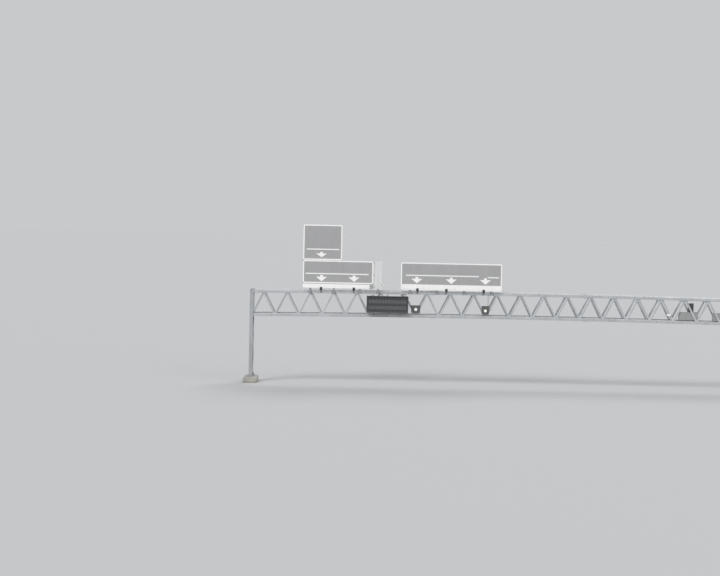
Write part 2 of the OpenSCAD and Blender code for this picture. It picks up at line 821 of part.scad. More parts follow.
// Conduit from the right signal box up to the underside of a clip on the upper chord
module signal_conduit() {
    z0 = box_bottom + right_box_high;
    z1 = top_mid + rise(conduit_at);
    wide = conduit + 2 * clip_reach;
    y = chord_face - conduit;
    translate([conduit_at, y, z0]) cylinder(h = z1 - z0, d = conduit);
    translate([conduit_at - wide / 2, y - wide / 2, z1 - clip_high]) cube([wide, wide / 2 + conduit, clip_high]);
    translate([conduit_at - wide / 2, y - wide / 2, z0]) cube([wide, wide, collar_high]);
}

// Height of a cabinet's lower edge, clear of the kick strips
function cabinet_foot(d) =
    boom_height + max(rise(d), rise(d + cabinet_wide)) + deck_rise + kick_high + cabinet_gap;

// Pale cabinets on the back of the front side's slanting bars
module cabinets() {
    for (d = cabinet_places)
        translate([d, lace_back, cabinet_foot(d)]) cube([cabinet_wide, cabinet_deep, cabinet_high]);
}

// Dark unit on top of the left cabinet
module cabinet_unit() {
    d = cabinet_places[0];
    translate([d + unit_inset, lace_back + unit_back, cabinet_foot(d) + cabinet_high])
        cube([unit_wide, unit_deep, unit_high]);
}

// Lamp bar on the front of a slanting bar
module lamp_bar() {
    translate([bar_at - bar_long / 2, lace_front - bar_deep, boom_height + bar_rise])
        cube([bar_long, bar_deep, bar_high]);
}

// Small round lamp on the end of a rail beside the pale panel
module spot_lamp() {
    translate([spot_at, rail_front, spot_height]) rotate([90, 0, 0]) cylinder(h = spot_long, d = spot_size);
}

// Glass of the small round lamp
module spot_glass() {
    translate([spot_at, rail_front - spot_long, spot_height]) rotate([90, 0, 0])
        cylinder(h = glass_thick, d = spot_size - 2 * spot_rim);
}

color([0.62, 0.61, 0.58]) plinth(0);  // plinth_left
color([0.62, 0.61, 0.58]) plinth(span);  // plinth_right
color([0.62, 0.64, 0.65]) leg(0);  // leg_left
color([0.62, 0.64, 0.65]) leg(span);  // leg_right
color([0.72, 0.74, 0.75]) truss(front);  // truss_front
color([0.72, 0.74, 0.75]) truss(rear);  // truss_rear
color([0.66, 0.68, 0.69]) bracing_top();
color([0.66, 0.68, 0.69]) bracing_floor();
color([0.55, 0.57, 0.58]) walkway_deck();
color([0.6, 0.62, 0.63]) kick_strips();
color([0.7, 0.72, 0.73]) joint_covers();
color([0.6, 0.62, 0.63]) posts_left();
color([0.6, 0.62, 0.63]) posts_middle();
color([0.6, 0.62, 0.63]) struts_left();
color([0.6, 0.62, 0.63]) struts_middle();
color([0.7, 0.72, 0.73]) rails_left();
color([0.7, 0.72, 0.73]) rails_middle();
color([0.42, 0.45, 0.5]) sign_upper();
color([0.42, 0.45, 0.5]) sign_lower();
color([0.85, 0.86, 0.86]) side_panel();
color([0.42, 0.45, 0.5]) sign_middle();
color([0.35, 0.36, 0.37]) lamp_arms();
color([0.15, 0.15, 0.16]) lamp_heads();
color([0.9, 0.9, 0.85]) lamp_glasses();
color([0.08, 0.08, 0.09]) message_case();
color([0.12, 0.12, 0.13]) message_screen();
color([0.5, 0.52, 0.53]) message_hangers();
color([0.3, 0.31, 0.32]) signal_boxes();
color([0.95, 0.95, 0.9]) signal_lenses();
color([0.6, 0.6, 0.6]) signal_conduit();
color([0.78, 0.79, 0.79]) cabinets();
color([0.2, 0.2, 0.21]) cabinet_unit();
color([0.9, 0.9, 0.88]) lamp_bar();
color([0.3, 0.31, 0.32]) spot_lamp();
color([0.9, 0.9, 0.85]) spot_glass();
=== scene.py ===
# %% [markdown]
# # Overhead sign gantry
# A lattice boom on two braced legs carries direction signs, lamps and a message sign. The packed
# solids give every size and place. This script gives each visible piece a finish made from nodes
# and adds what is too fine for the solids. Lengths are metres of the half-size model, X runs along
# the boom, and the signs face -Y.

# %% Load the frame
import math
from itertools import product

import bmesh
import bpy
from mathutils import Matrix, Vector


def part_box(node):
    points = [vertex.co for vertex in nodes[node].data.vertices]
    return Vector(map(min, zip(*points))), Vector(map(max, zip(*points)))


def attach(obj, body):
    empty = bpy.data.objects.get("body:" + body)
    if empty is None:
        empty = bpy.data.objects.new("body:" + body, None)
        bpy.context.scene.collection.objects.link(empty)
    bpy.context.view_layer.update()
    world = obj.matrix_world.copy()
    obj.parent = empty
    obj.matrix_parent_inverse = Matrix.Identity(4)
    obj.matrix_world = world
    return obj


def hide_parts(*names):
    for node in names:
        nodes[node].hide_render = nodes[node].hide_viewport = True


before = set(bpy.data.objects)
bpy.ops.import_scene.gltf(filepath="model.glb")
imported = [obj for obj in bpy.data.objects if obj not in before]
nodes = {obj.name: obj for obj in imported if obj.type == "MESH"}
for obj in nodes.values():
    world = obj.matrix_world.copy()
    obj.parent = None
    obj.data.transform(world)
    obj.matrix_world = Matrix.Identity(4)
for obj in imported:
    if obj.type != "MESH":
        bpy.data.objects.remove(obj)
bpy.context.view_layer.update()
scene = bpy.context.scene

# %% [markdown]
# ## Where the solids lie
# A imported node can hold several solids, such as four posts. Typed-in places would drift apart from
# them when a size changes, so faces that share corners are grouped, and each group's box is read.

# %% Boxes of the separate solids
def solids(name):
    """Boxes, as lowest and highest corners, of a node's separate solids from left to right."""
    mesh, groups = nodes[name].data, []
    for face in mesh.polygons:
        spots = {tuple(round(c, 5) for c in mesh.vertices[i].co) for i in face.vertices}
        met = [g for g in groups if g & spots]
        groups = [g for g in groups if not g & spots] + [spots.union(*met)]
    boxes = [(Vector(map(min, zip(*g))), Vector(map(max, zip(*g)))) for g in groups]
    return sorted(boxes, key=lambda box: tuple(box[0]))


def middle(box):
    """Middle of a box."""
    return (box[0] + box[1]) / 2


SPAN = middle(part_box("plinth_right")).x - middle(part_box("plinth_left")).x
POSTS = solids("posts_left") + solids("posts_middle")
RAILS = solids("rails_left") + solids("rails_middle")
HEADS = solids("lamp_heads")
print(f"span {SPAN:.2f} m, {len(POSTS)} posts, {len(RAILS)} rails, {len(HEADS)} lamp heads")

# %% [markdown]
# ## The camera
# The photo was taken from a height far in front of the gantry with a long lens, and it is turned by
# about one degree, which the boom and the signs share. A camera could be aimed at a point, but then
# it would be level. A move and two turns set its place, its tilt and its roll one by one.

# %% Camera at the photo's viewpoint, its turns in degrees
def put(name, data):
    """New object in the scene."""
    made = bpy.data.objects.new(name, data)
    scene.collection.objects.link(made)
    return made


EYE, TILT_DOWN, ROLL = Vector((5.575, -93.28, 7.864)), 1.78, 1.22
LENS_MM, SEES_TO = 90.0, 9000.0
camera = put("camera", bpy.data.cameras.new("camera"))
camera.data.lens = LENS_MM
camera.data.clip_end = SEES_TO
camera.matrix_world = (
    Matrix.Translation(EYE) @ Matrix.Rotation(math.radians(90 - TILT_DOWN), 4, "X")
    @ Matrix.Rotation(math.radians(ROLL), 4, "Z"))
scene.camera = camera
print("camera at", [round(v, 2) for v in EYE], "with a lens of", LENS_MM, "mm")

# %% [markdown]
# ## Helpers for every node tree
# Shaders and Geometry Nodes trees are both built here from code. Adding, setting and linking each
# node by hand would take many lines. One short helper does all three and gives back the node's
# output, so a tree reads like a line of arithmetic.

# %% Nodes and arithmetic
def feed(tree, made, feeds):
    """Fills a node's inputs with values or with other nodes' outputs."""
    for key, value in feeds.items():
        if isinstance(value, bpy.types.NodeSocket):
            tree.links.new(value, made.inputs[key])
        else:
            made.inputs[key].default_value = value


def node(tree, kind, feeds=None, out=0, **settings):
    """Adds a node, sets its options and inputs, and gives back one of its outputs."""
    made = tree.nodes.new(kind)
    for key, value in settings.items():
        setattr(made, key, value)
    feed(tree, made, feeds or {})
    return made.outputs[out] if len(made.outputs) else None


def reckon(tree, operation, *numbers):
    """One step of arithmetic in a tree."""
    return node(tree, "ShaderNodeMath", dict(enumerate(numbers)), operation=operation)


def times(tree, a, b):
    """Product of two numbers in a tree."""
    return reckon(tree, "MULTIPLY", a, b)


def plus(tree, a, b):
    """Sum of two numbers in a tree."""
    return reckon(tree, "ADD", a, b)


def spread(tree, value, low, high, at_low, at_high):
    """Turns the range low to high of a number into at_low to at_high, clamped."""
    return node(tree, "ShaderNodeMapRange", {
        "Value": value, "From Min": low, "From Max": high, "To Min": at_low, "To Max": at_high})


print("node helpers ready")

# %% Colours and empty finishes
def srgb(*levels):
    """Linear colour from the levels, 0 to 255, that a picture shows."""
    parts = [v / 255 for v in levels]
    return (*[p / 12.92 if p <= 0.04045 else ((p + 0.055) / 1.055) ** 2.4 for p in parts], 1.0)


def new_finish(name):
    """Empty finish: its material, tree and shader."""
    finish = bpy.data.materials.new(name)
    finish.use_nodes = True
    return finish, finish.node_tree, finish.node_tree.nodes["Principled BSDF"]


print("mid grey is", round(srgb(128, 128, 128)[0], 3))

# %% [markdown]
# ## Studio light
# The photo is a night view with light from below. Copying that would hide the form, so the part is
# shown in plain soft light: a pale sky, a broad key light from the front left and two weaker ones,
# so that a surface renders about as bright as its colour is written. The backdrop is seen but adds
# no light. It is a shade darker than white, so that the white strips on the signs stand out.

# %% Background
BACKDROP, SKY_LIGHT = srgb(200, 201, 203), 0.42
world = bpy.data.worlds.new("studio")
scene.view_settings.view_transform = "Standard"
scene.world = world
world.use_nodes = True
sky = world.node_tree
sky.nodes.clear()
rays = sky.nodes.new("ShaderNodeLightPath").outputs
seen = reckon(sky, "MAXIMUM", rays["Is Camera Ray"], rays["Is Glossy Ray"])
seen = reckon(sky, "MAXIMUM", seen, rays["Is Transmission Ray"])
glow = node(sky, "ShaderNodeBackground", {"Color": (1.0, 1.0, 1.0, 1.0), "Strength": SKY_LIGHT})
shown = node(sky, "ShaderNodeBackground", {"Color": BACKDROP, "Strength": 1.0})
node(sky, "ShaderNodeOutputWorld", {
    "Surface": node(sky, "ShaderNodeMixShader", {0: seen, 1: glow, 2: shown})})
print("sky light", SKY_LIGHT)

# %% Lamps, each with its strength, its height and turn in degrees, and its width
SUNS = (("key", 1.75, 38, -32, 24), ("side", 0.55, 25, 48, 40), ("back", 1.25, 42, 160, 30))
for name, power, height, turn, width in SUNS:
    lamp = put(name, bpy.data.lights.new(name, "SUN"))
    lamp.data.energy = power
    lamp.data.angle = math.radians(width)
    lamp.rotation_euler = (math.radians(90 - height), 0.0, math.radians(turn))
print(len(SUNS), "lights")

# %% [markdown]
# ## The floor
# A plain pale floor takes the object's shadow. A small one would show its edge, so it reaches far
# past the view. Once lit, its colour is as bright as the backdrop, and no line shows between them.

# %% Floor
FLOOR_REACH, FLOOR_Z, FLOOR_COLOUR = 4000.0, -0.001, (0.505, 0.509, 0.518, 1.0)
CORNERS = ((-1, -1), (1, -1), (1, 1), (-1, 1))
floor_mesh = bpy.data.meshes.new("floor")
floor_mesh.from_pydata(
    [(a * FLOOR_REACH, b * FLOOR_REACH, FLOOR_Z) for a, b in CORNERS], [], [(0, 1, 2, 3)])
floor = put("floor", floor_mesh)
pale_floor, tree, shader = new_finish("pale_floor")
feed(tree, shader, {"Base Color": FLOOR_COLOUR, "Roughness": 0.95, "Specular IOR Level": 0.1})
floor_mesh.materials.append(pale_floor)
print("floor to", FLOOR_REACH, "m")

# %% [markdown]
# ## Weathered finishes
# Outdoor steel, paint and concrete are never one flat colour. Large soft clouds come from uneven
# weathering, small cells are the crystals of a zinc coat, thin upright runs are where rain carries
# dirt down, and a fine grain breaks up the shine. Photos could be wrapped round each piece, but
# noise that reads the object's own coordinates needs no unwrapping and has one scale everywhere.
# The signs add level joints between planks, and another finish behind their faces.

# %% What every finish shares, and the range that nearly all of a noise lies in
NOISE = (0.3, 0.7)


def noise(tree, place, scale, detail, rough=0.5):
    """Soft clouds of one size."""
    return node(tree, "ShaderNodeTexNoise", {
        "Vector": place, "Scale": scale, "Detail": detail, "Roughness": rough})


def finish_off(tree, shader, paint, light, rough, relief, bump, depth):
    """Leads paint times light, the roughness and the relief into the shader."""
    shade = node(tree, "ShaderNodeMix", {0: 1.0, 6: paint, 7: light}, out=2,
                 data_type="RGBA", blend_type="MULTIPLY")
    raised = node(tree, "ShaderNodeBump", {"Strength": bump, "Distance": depth, "Height": relief})
    feed(tree, shader, {"Base Color": shade, "Roughness": rough, "Normal": raised})


def wear(name, finish):
    """Gives a finish to a solid that stays as it is."""
    nodes[name].data.materials.clear()
    nodes[name].data.materials.append(finish)


print("finish helpers ready")

# %% A weathered finish
CRYSTALS_PER_M, GRAIN_PER_M = 42.0, 150.0
RUN_SCALE = (11.0, 11.0, 0.9)
RUN_EDGE, ROUGH_SWAY, RELIEF_DEPTH = (0.5, 0.72), 0.08, 0.002
JOINT_SHARE, JOINT_SHADE, JOINT_DROP = 0.035, 0.86, -3.0


def weathered(name, levels, rough, metallic=0.0, clouds=0.1, cloud_size=0.7, crystals=0.0,
              runs=0.0, grain=0.05, bump=0.2, back=None, planks=None):
    """Finish with clouds, zinc crystals, rain runs and grain.
    back = (y, levels, metallic) gives another finish to all that lies behind y.
    planks = (z, height) draws fine level joints upwards from z."""
    finish, tree, shader = new_finish(name)
    place = node(tree, "ShaderNodeTexCoord", out="Object")
    cloud = noise(tree, place, 1 / cloud_size, 5.0, 0.6)
    fine = noise(tree, place, GRAIN_PER_M, 2.0)
    light = times(tree, spread(tree, cloud, *NOISE, 1 - clouds, 1 + clouds),
                  spread(tree, fine, *NOISE, 1 - grain, 1 + grain))
    relief, paint, metal = fine, srgb(*levels), metallic
    if crystals:
        one = node(tree, "ShaderNodeSeparateColor", {"Color": node(
            tree, "ShaderNodeTexVoronoi", {"Vector": place, "Scale": CRYSTALS_PER_M}, out="Color")})
        light = times(tree, light, spread(tree, one, 0.0, 1.0, 1 - crystals, 1 + crystals))
        relief = plus(tree, relief, one)
    if runs:
        tall = node(tree, "ShaderNodeMapping", {"Vector": place, "Scale": RUN_SCALE})
        run = noise(tree, tall, 1.0, 4.0)
        light = times(tree, light, spread(tree, run, *RUN_EDGE, 1.0, 1 - runs))
    if planks:
        z = node(tree, "ShaderNodeSeparateXYZ", {"Vector": place}, out="Z")
        part = reckon(tree, "FRACT", times(tree, plus(tree, z, -planks[0]), 1 / planks[1]))
        joint = reckon(tree, "LESS_THAN", part, JOINT_SHARE)
        light = times(tree, light, spread(tree, joint, 0.0, 1.0, 1.0, JOINT_SHADE))
        relief = plus(tree, relief, times(tree, joint, JOINT_DROP))
    if back:
        y = node(tree, "ShaderNodeSeparateXYZ", {"Vector": place}, out="Y")
        behind = reckon(tree, "GREATER_THAN", y, back[0])
        paint = node(tree, "ShaderNodeMix", {0: behind, 6: paint, 7: srgb(*back[1])}, out=2,
                     data_type="RGBA")
        metal = spread(tree, behind, 0.0, 1.0, metallic, back[2])
    feed(tree, shader, {"Metallic": metal})
    shine = spread(tree, cloud, *NOISE, rough + ROUGH_SWAY, rough - ROUGH_SWAY)
    finish_off(tree, shader, paint, light, shine, relief, bump, RELIEF_DEPTH)
    return finish


print("weathered() ready")

# %% [markdown]
# ## Steel
# The boom, legs, posts and bracing are dipped in molten zinc, which leaves a light grey coat of
# crystals that dulls with the years. A weathered coat scatters light more than bare metal does,
# so it is only partly metallic. The legs stand in splash and dust and are a shade darker. Every
# edge is a little lighter than the faces beside it: partly wear, partly a painted highlight.

# %% Steel finishes
boom_zinc = weathered(
    "boom_zinc", (188, 191, 193), 0.52, 0.45, clouds=0.13, crystals=0.07, runs=0.14)
leg_zinc = weathered("leg_zinc", (176, 179, 181), 0.55, 0.45, clouds=0.15, crystals=0.07, runs=0.22)
brace_zinc = weathered(
    "brace_zinc", (172, 175, 177), 0.55, 0.45, clouds=0.12, crystals=0.06, runs=0.08)
post_zinc = weathered("post_zinc", (162, 165, 168), 0.5, 0.5, clouds=0.12, crystals=0.07, runs=0.16)
cover_zinc = weathered("cover_zinc", (198, 200, 202), 0.46, 0.55, clouds=0.08, crystals=0.1)
grate_zinc = weathered("grate_zinc", (152, 155, 157), 0.6, 0.5, clouds=0.16, crystals=0.03)
rail_metal = weathered("rail_metal", (196, 198, 200), 0.38, 0.75, clouds=0.07, runs=0.08, bump=0.07)
# Edge finish, lighter than the faces: partly worn zinc, partly a painted highlight along every edge.
edge_wear_and_highlight_zinc = weathered("edge_wear_and_highlight_zinc", (206, 209, 211), 0.42, 0.6, clouds=0.1, cloud_size=0.15)
bolt_zinc = weathered("bolt_zinc", (150, 152, 154), 0.42, 0.7, clouds=0.12, cloud_size=0.08)
weld_steel = weathered(
    "weld_steel", (166, 168, 168), 0.6, 0.4, clouds=0.2, cloud_size=0.03, bump=0.6)
print("steel finishes ready")

# %% [markdown]
# ## Concrete
# The plinths are cast in a wooden form. Cement skin varies in large pale and dark patches, small
# air holes stay open on the sides, and splash darkens them. Modelled holes would cost many faces.
# Two noises and a Voronoi pattern of holes are enough at this size.

# %% Concrete plinths
PATCHES_PER_M, SAND_PER_M, HOLES_PER_M = 2.2, 220.0, 60.0
HOLE_EDGE, DAMP_TO_DRY = (0.05, 0.14), (0.05, 0.17)


def cast_concrete(name, levels):
    """Cement skin with patches, air holes and damp near the ground."""
    finish, tree, shader = new_finish(name)
    place = node(tree, "ShaderNodeTexCoord", out="Object")
    blotch = noise(tree, place, PATCHES_PER_M, 8.0, 0.65)
    sand = noise(tree, place, SAND_PER_M, 2.0)
    holes = node(tree, "ShaderNodeTexVoronoi", {"Vector": place, "Scale": HOLES_PER_M})
    pit = spread(tree, holes, *HOLE_EDGE, 0.0, 1.0)
    z = node(tree, "ShaderNodeSeparateXYZ", {"Vector": place}, out="Z")
    damp = spread(tree, plus(tree, z, times(tree, blotch, 0.12)), *DAMP_TO_DRY, 0.72, 1.0)
    light = times(tree, spread(tree, blotch, *NOISE, 0.8, 1.12),
                  spread(tree, sand, *NOISE, 0.94, 1.06))
    light = times(tree, times(tree, light, damp), spread(tree, pit, 0.0, 1.0, 0.62, 1.0))
    finish_off(tree, shader, srgb(*levels), light, spread(tree, blotch, *NOISE, 0.95, 0.8),
               plus(tree, times(tree, pit, 2.0), sand), 0.5, 0.003)
    return finish


concrete = cast_concrete("concrete", (172, 169, 162))
grout = cast_concrete("grout", (140, 138, 134))
print("concrete and grout ready")

# %% [markdown]
# ## Sign faces
# A large sign is built of aluminium planks, joined edge to edge, with reflecting sheet in front.
# The photo has no colour: the faces show as a mid grey, the strips on them as nearly white. Two
# solids would need a seam. One finish that changes with the Y coordinate keeps the planks whole.

# %% Sign sheet, panel sheet and white sheet
PLANK, SKIN = 0.15, 0.0008
sign_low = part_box("sign_lower")[0]
FACE_Y = sign_low.y
layers = {"planks": (sign_low.z, PLANK), "back": (FACE_Y + SKIN, (172, 174, 176), 0.7)}
face_sheet = weathered("face_sheet", (166, 166, 167), 0.36, clouds=0.045, cloud_size=0.9,
                       runs=0.06, grain=0.03, bump=0.06, **layers)
panel_sheet = weathered(
    "panel_sheet", (216, 217, 217), 0.4, clouds=0.05, runs=0.1, grain=0.03, bump=0.06, **layers)
# The white sheet also makes the lower sign's band of painted lamp glow.
white_sheet_and_painted_glow = weathered(
    "white_sheet_and_painted_glow", (244, 244, 243), 0.35, clouds=0.025, runs=0.04, grain=0.02, bump=0.05)
for name in ("sign_upper", "sign_lower", "sign_middle"):
    wear(name, face_sheet)
wear("side_panel", panel_sheet)
print("face at y =", round(FACE_Y, 4))

# %% [markdown]
# ## Paint, glass and lamps
# The lamp heads and the message sign are coated dark and the cabinets pale grey. Their edges are
# lighter: partly paint worn through to its primer, partly a painted highlight. The lamps are lit in
# the photo. Real lamps in the scene would light the floor too, so the glasses and the round lenses
# give a little light of their own instead. It is kept low, so that nothing burns out to flat white.

# %% Paint finishes
dark_coat = weathered("dark_coat", (84, 85, 85), 0.5, clouds=0.12, runs=0.1, bump=0.25)
black_coat = weathered("black_coat", (78, 79, 81), 0.5, clouds=0.1, runs=0.12, bump=0.25)
screen_black = weathered("screen_black", (66, 67, 69), 0.3, clouds=0.06, bump=0.1)
pixel_grey = weathered("pixel_grey", (116, 117, 117), 0.25, clouds=0.05, bump=0.05)
module_black = weathered("module_black", (84, 85, 86), 0.45, clouds=0.05, bump=0.1)
box_coat = weathered("box_coat", (92, 94, 96), 0.5, clouds=0.1, runs=0.12, bump=0.2)
arm_coat = weathered("arm_coat", (108, 110, 112), 0.48, 0.4, clouds=0.1, runs=0.1)
cabinet_coat = weathered("cabinet_coat", (154, 155, 155), 0.42, clouds=0.05, runs=0.14, bump=0.12)
unit_coat = weathered("unit_coat", (74, 75, 77), 0.5, clouds=0.1, runs=0.1)
# Lighter edges of the dark and the pale paint: partly worn paint, partly a painted highlight.
edge_wear_and_highlight_coat = weathered("edge_wear_and_highlight_coat", (128, 129, 130), 0.55, clouds=0.25, cloud_size=0.08)
pale_edge_wear_and_highlight = weathered("pale_edge_wear_and_highlight", (186, 186, 184), 0.55, clouds=0.15, cloud_size=0.1)
wear("message_screen", screen_black)
print("paint ready")

# %% Glass and lamp finishes
WARM = (1.0, 0.97, 0.9, 1.0)


def lit(name, levels, power, rough=0.2):
    """Glass or plastic that gives a little light, uneven as over a lamp."""
    finish = weathered(name, levels, rough, clouds=0.06, cloud_size=0.05, bump=0.1)
    tree = finish.node_tree
    feed(tree, tree.nodes["Principled BSDF"], {"Emission Color": WARM, "Emission Strength": power})
    return finish


lamp_glow = lit("lamp_glow", (214, 212, 204), 0.35)
lens_glow = lit("lens_glow", (216, 215, 208), 0.45)
bar_glow = lit("bar_glow", (214, 214, 210), 0.3, 0.3)
wear("lamp_glasses", lamp_glow)
print("glass ready")

# %% [markdown]
# ## Shapes from outlines
# Plates, frames and bodies are closed shapes with flat faces. They could be cut from stretched
# cubes, but an outline says at once what a plate looks like. Every shape here is a skin over
# loops of points: a prism has two loops, a turned part one for each step of its profile.

# %% Blocks, prisms and turned parts
def about(place, half):
    """Range that reaches as far to both sides of a place."""
    return place - half, place + half


def inset(ends, by):
    """Range made smaller at both ends."""
    return ends[0] + by, ends[1] - by


def skin(loops, closed=False):
    """Corners and faces of a skin over loops with as many points. It leads back to the first
    loop if closed, or else gets a face at either end."""
    n, count = len(loops[0]), len(loops)
    faces = [] if closed else [tuple(range(n)), tuple(range((count - 1) * n, count * n))]
    for a, i in product(range(count if closed else count - 1), range(n)):
        b, j = (a + 1) % count, (i + 1) % n
        faces.append((a * n + i, a * n + j, b * n + j, b * n + i))
    return [point for loop in loops for point in loop], faces


def prism(outline, axis, start, end):
    """Outline drawn square to an axis, made solid from start to end. The outline gives the
    other two coordinates in the order X, Y, Z."""
    return skin([[{"x": (c, a, b), "y": (a, c, b), "z": (a, b, c)}[axis] for a, b in outline]
                 for c in (start, end)])


def slab(xs, ys, zs):
    """Block that fills a range in X, Y and Z."""
    return prism([(xs[a > 0], ys[b > 0]) for a, b in CORNERS], "z", *zs)


def circle(x, z, r, steps=32):
    """Outline of a circle."""
    turns = [2 * math.pi * i / steps for i in range(steps)]
    return [(x + r * math.cos(a), z + r * math.sin(a)) for a in turns]


def spun(profile, centre, steps=32):
    """Profile of (radius, reach) pairs turned about the -Y line through a centre."""
    x, y, z = centre
    return skin([[(a, y - reach, b) for a, b in circle(x, z, r, steps)] for r, reach in profile])


print("a block has", len(slab((0, 1), (0, 1), (0, 1))[1]), "faces")

# %% [markdown]
# ## From parts to one piece
# A piece of the model is often many closed parts. Each could be an object of its own, but one piece
# is easier to name and to move. `shaped` makes a mesh of the parts, turns their faces outwards and
# can break their edges. `piece` joins meshes and puts them on the body.

# %% Parts, meshes and pieces
SHARP = 0.6


def settled(shape, *finishes):
    """Mesh from a shape in the making, with its finishes."""
    mesh = bpy.data.meshes.new("part")
    shape.to_mesh(mesh)
    shape.free()
    for finish in finishes:
        mesh.materials.append(finish)
    return mesh


def shaped(parts, finish, bevel=0.0, edge_wear_and_highlight=None):
    """Mesh of closed parts, if asked with their edges broken and given a lighter edge finish,
    partly wear and partly a painted highlight.
    """
    shape = bmesh.new()
    for corners, faces in parts:
        points = [shape.verts.new(c) for c in corners]
        for face in faces:
            shape.faces.new([points[i] for i in face])
    bmesh.ops.recalc_face_normals(shape, faces=shape.faces)
    if bevel:
        sharp = [e for e in shape.edges if e.calc_face_angle(0.0) > SHARP]
        bmesh.ops.bevel(shape, geom=sharp, offset=bevel, segments=1, affect="EDGES",
                        profile=0.5, clamp_overlap=True, material=1 if edge_wear_and_highlight else -1)
    return settled(shape, finish, *([edge_wear_and_highlight] if edge_wear_and_highlight else []))


def piece(name, meshes, replaces=()):
    """Joins meshes into one named piece that rides on the gantry."""
    joined, shape = bpy.data.meshes.new(name), bmesh.new()
    for mesh in meshes:
        start = len(shape.faces)
        shape.from_mesh(mesh)
        shape.faces.ensure_lookup_table()
        places = []
        for finish in mesh.materials:
            if finish and finish.name not in joined.materials:
                joined.materials.append(finish)
            places.append(joined.materials.find(finish.name) if finish else 0)
        for face in shape.faces[start:]:
            face.material_index = places[face.material_index]
        bpy.data.meshes.remove(mesh)
    triangles = sum(len(f.verts) - 2 for f in shape.faces)
    shape.to_mesh(joined)
    shape.free()
    made = put(name, joined)
    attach(made, "root")
    if replaces:
        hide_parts(*replaces)
    print(f"{name}: {triangles} triangles")


print("edges sharper than", SHARP, "rad are broken")

# %% [markdown]
# ## Rolled and folded edges
# Square tube, folded sheet and cast concrete never have knife edges, and a thin rounded edge
# catches the light and draws each bar. The imported solids keep their sharp edges. Each is covered by
# a copy with the outer edges cut back by a few millimetres, and the narrow faces that this makes
# get the edge finish, mostly lighter: partly wear, partly a painted highlight. Inner corners stay,
# since welds lie there, and so do round holes.

# %% Solids with broken edges
def broken_edges(name, radius, finish, edge_wear_and_highlight_finish, steps=1, flat=0.01):
    """Copy of a solid with its outer edges broken, which takes the solid's place. Faces that
    meet at less than the flat angle are joined first. Edges under three radii stay sharp."""
    shape = bmesh.new()
    shape.from_mesh(nodes[name].data)
    bmesh.ops.remove_doubles(shape, verts=shape.verts, dist=1e-5)
    if flat:
        bmesh.ops.dissolve_limit(shape, angle_limit=flat, verts=shape.verts, edges=shape.edges)
    for face in shape.faces:
        face.material_index = 0
    outer = [e for e in shape.edges if len(e.link_faces) == 2 and e.calc_length() > 3 * radius
             and e.calc_face_angle_signed(0.0) > SHARP]
    bmesh.ops.bevel(shape, geom=outer, offset=radius, segments=steps, affect="EDGES",
                    profile=0.5, clamp_overlap=False, loop_slide=False, material=1)
    piece(f"{name}_worn", [settled(shape, finish, edge_wear_and_highlight_finish)], [name])


for names, *values in (
        ("plinth_left plinth_right", 0.006, concrete, concrete, 2),
        ("kick_strips", 0.001, brace_zinc, edge_wear_and_highlight_zinc, 1, 0.0003),
        ("joint_covers", 0.0015, cover_zinc, edge_wear_and_highlight_zinc),
        ("posts_left posts_middle", 0.007, post_zinc, edge_wear_and_highlight_zinc, 2),
        ("struts_left", 0.005, post_zinc, edge_wear_and_highlight_zinc, 1, None),
        ("struts_middle message_hangers", 0.005, post_zinc, edge_wear_and_highlight_zinc),
        ("rails_left rails_middle", 0.003, rail_metal, rail_metal),
        ("signal_conduit", 0.002, post_zinc, edge_wear_and_highlight_zinc),
        ("lamp_arms", 0.003, arm_coat, edge_wear_and_highlight_coat),
        ("message_case", 0.003, black_coat, edge_wear_and_highlight_coat),
        ("signal_boxes", 0.0015, box_coat, edge_wear_and_highlight_coat),
        ("cabinets", 0.006, cabinet_coat, pale_edge_wear_and_highlight, 2),
        ("cabinet_unit", 0.004, unit_coat, edge_wear_and_highlight_coat)):
    for name in names.split():
        broken_edges(name, *values)

# %% [markdown]
# ## Growing meshes with Geometry Nodes
# What repeats is grown by a Geometry Nodes tree from a seed mesh of lines or points. Objects could
# be copied in a loop instead, but a tree with named inputs is built once and serves every size.
# Each tree ends by making its copies real and setting one finish. The result is taken off as a
# plain mesh in its final place, and the modifier is removed.

# %% Opening, closing and running a tree
def new_tree(name, *sizes, **others):
    """Empty Geometry Nodes tree and its group input, which gives a geometry, the sizes, inputs
    of other kinds and a finish."""
    kinds = {"Geometry": "Geometry", **dict.fromkeys(sizes, "Float"), **others}
    tree = bpy.data.node_groups.new(name, "GeometryNodeTree")
    tree.interface.new_socket("Geometry", in_out="OUTPUT", socket_type="NodeSocketGeometry")
    for label, kind in {**kinds, "Finish": "Material"}.items():
        tree.interface.new_socket(label, in_out="INPUT", socket_type=f"NodeSocket{kind}")
    return tree, tree.nodes.new("NodeGroupInput").outputs


def close_tree(tree, geometry, finish):
    """Last steps of every tree: real geometry, flat faces and one material."""
    flat = node(tree, "GeometryNodeSetShadeSmooth", {
        "Geometry": node(tree, "GeometryNodeRealizeInstances", {"Geometry": geometry}),
        "Shade Smooth": False})
    node(tree, "NodeGroupOutput", {
        0: node(tree, "GeometryNodeSetMaterial", {"Geometry": flat, "Material": finish})})


def seeded(corners, edges=()):
    """Seed mesh of points and lines."""
    seed = bpy.data.meshes.new("seed")
    seed.from_pydata(corners, edges, [])
    return seed


def grown(tree, seed, sizes):
    """Plain mesh that a tree grows from a seed mesh, with the given sizes."""
    holder = put("seed", seed)
    modifier = holder.modifiers.new("grow", "NODES")
    modifier.node_group = tree
    for item in tree.interface.items_tree:
        if item.name in sizes:
            modifier[item.identifier] = sizes[item.name]
    graph = bpy.context.evaluated_depsgraph_get()
    mesh = bpy.data.meshes.new_from_object(holder.evaluated_get(graph), depsgraph=graph)
    holder.modifiers.remove(modifier)
    bpy.data.objects.remove(holder)
    return mesh


print("trees can be built and run")

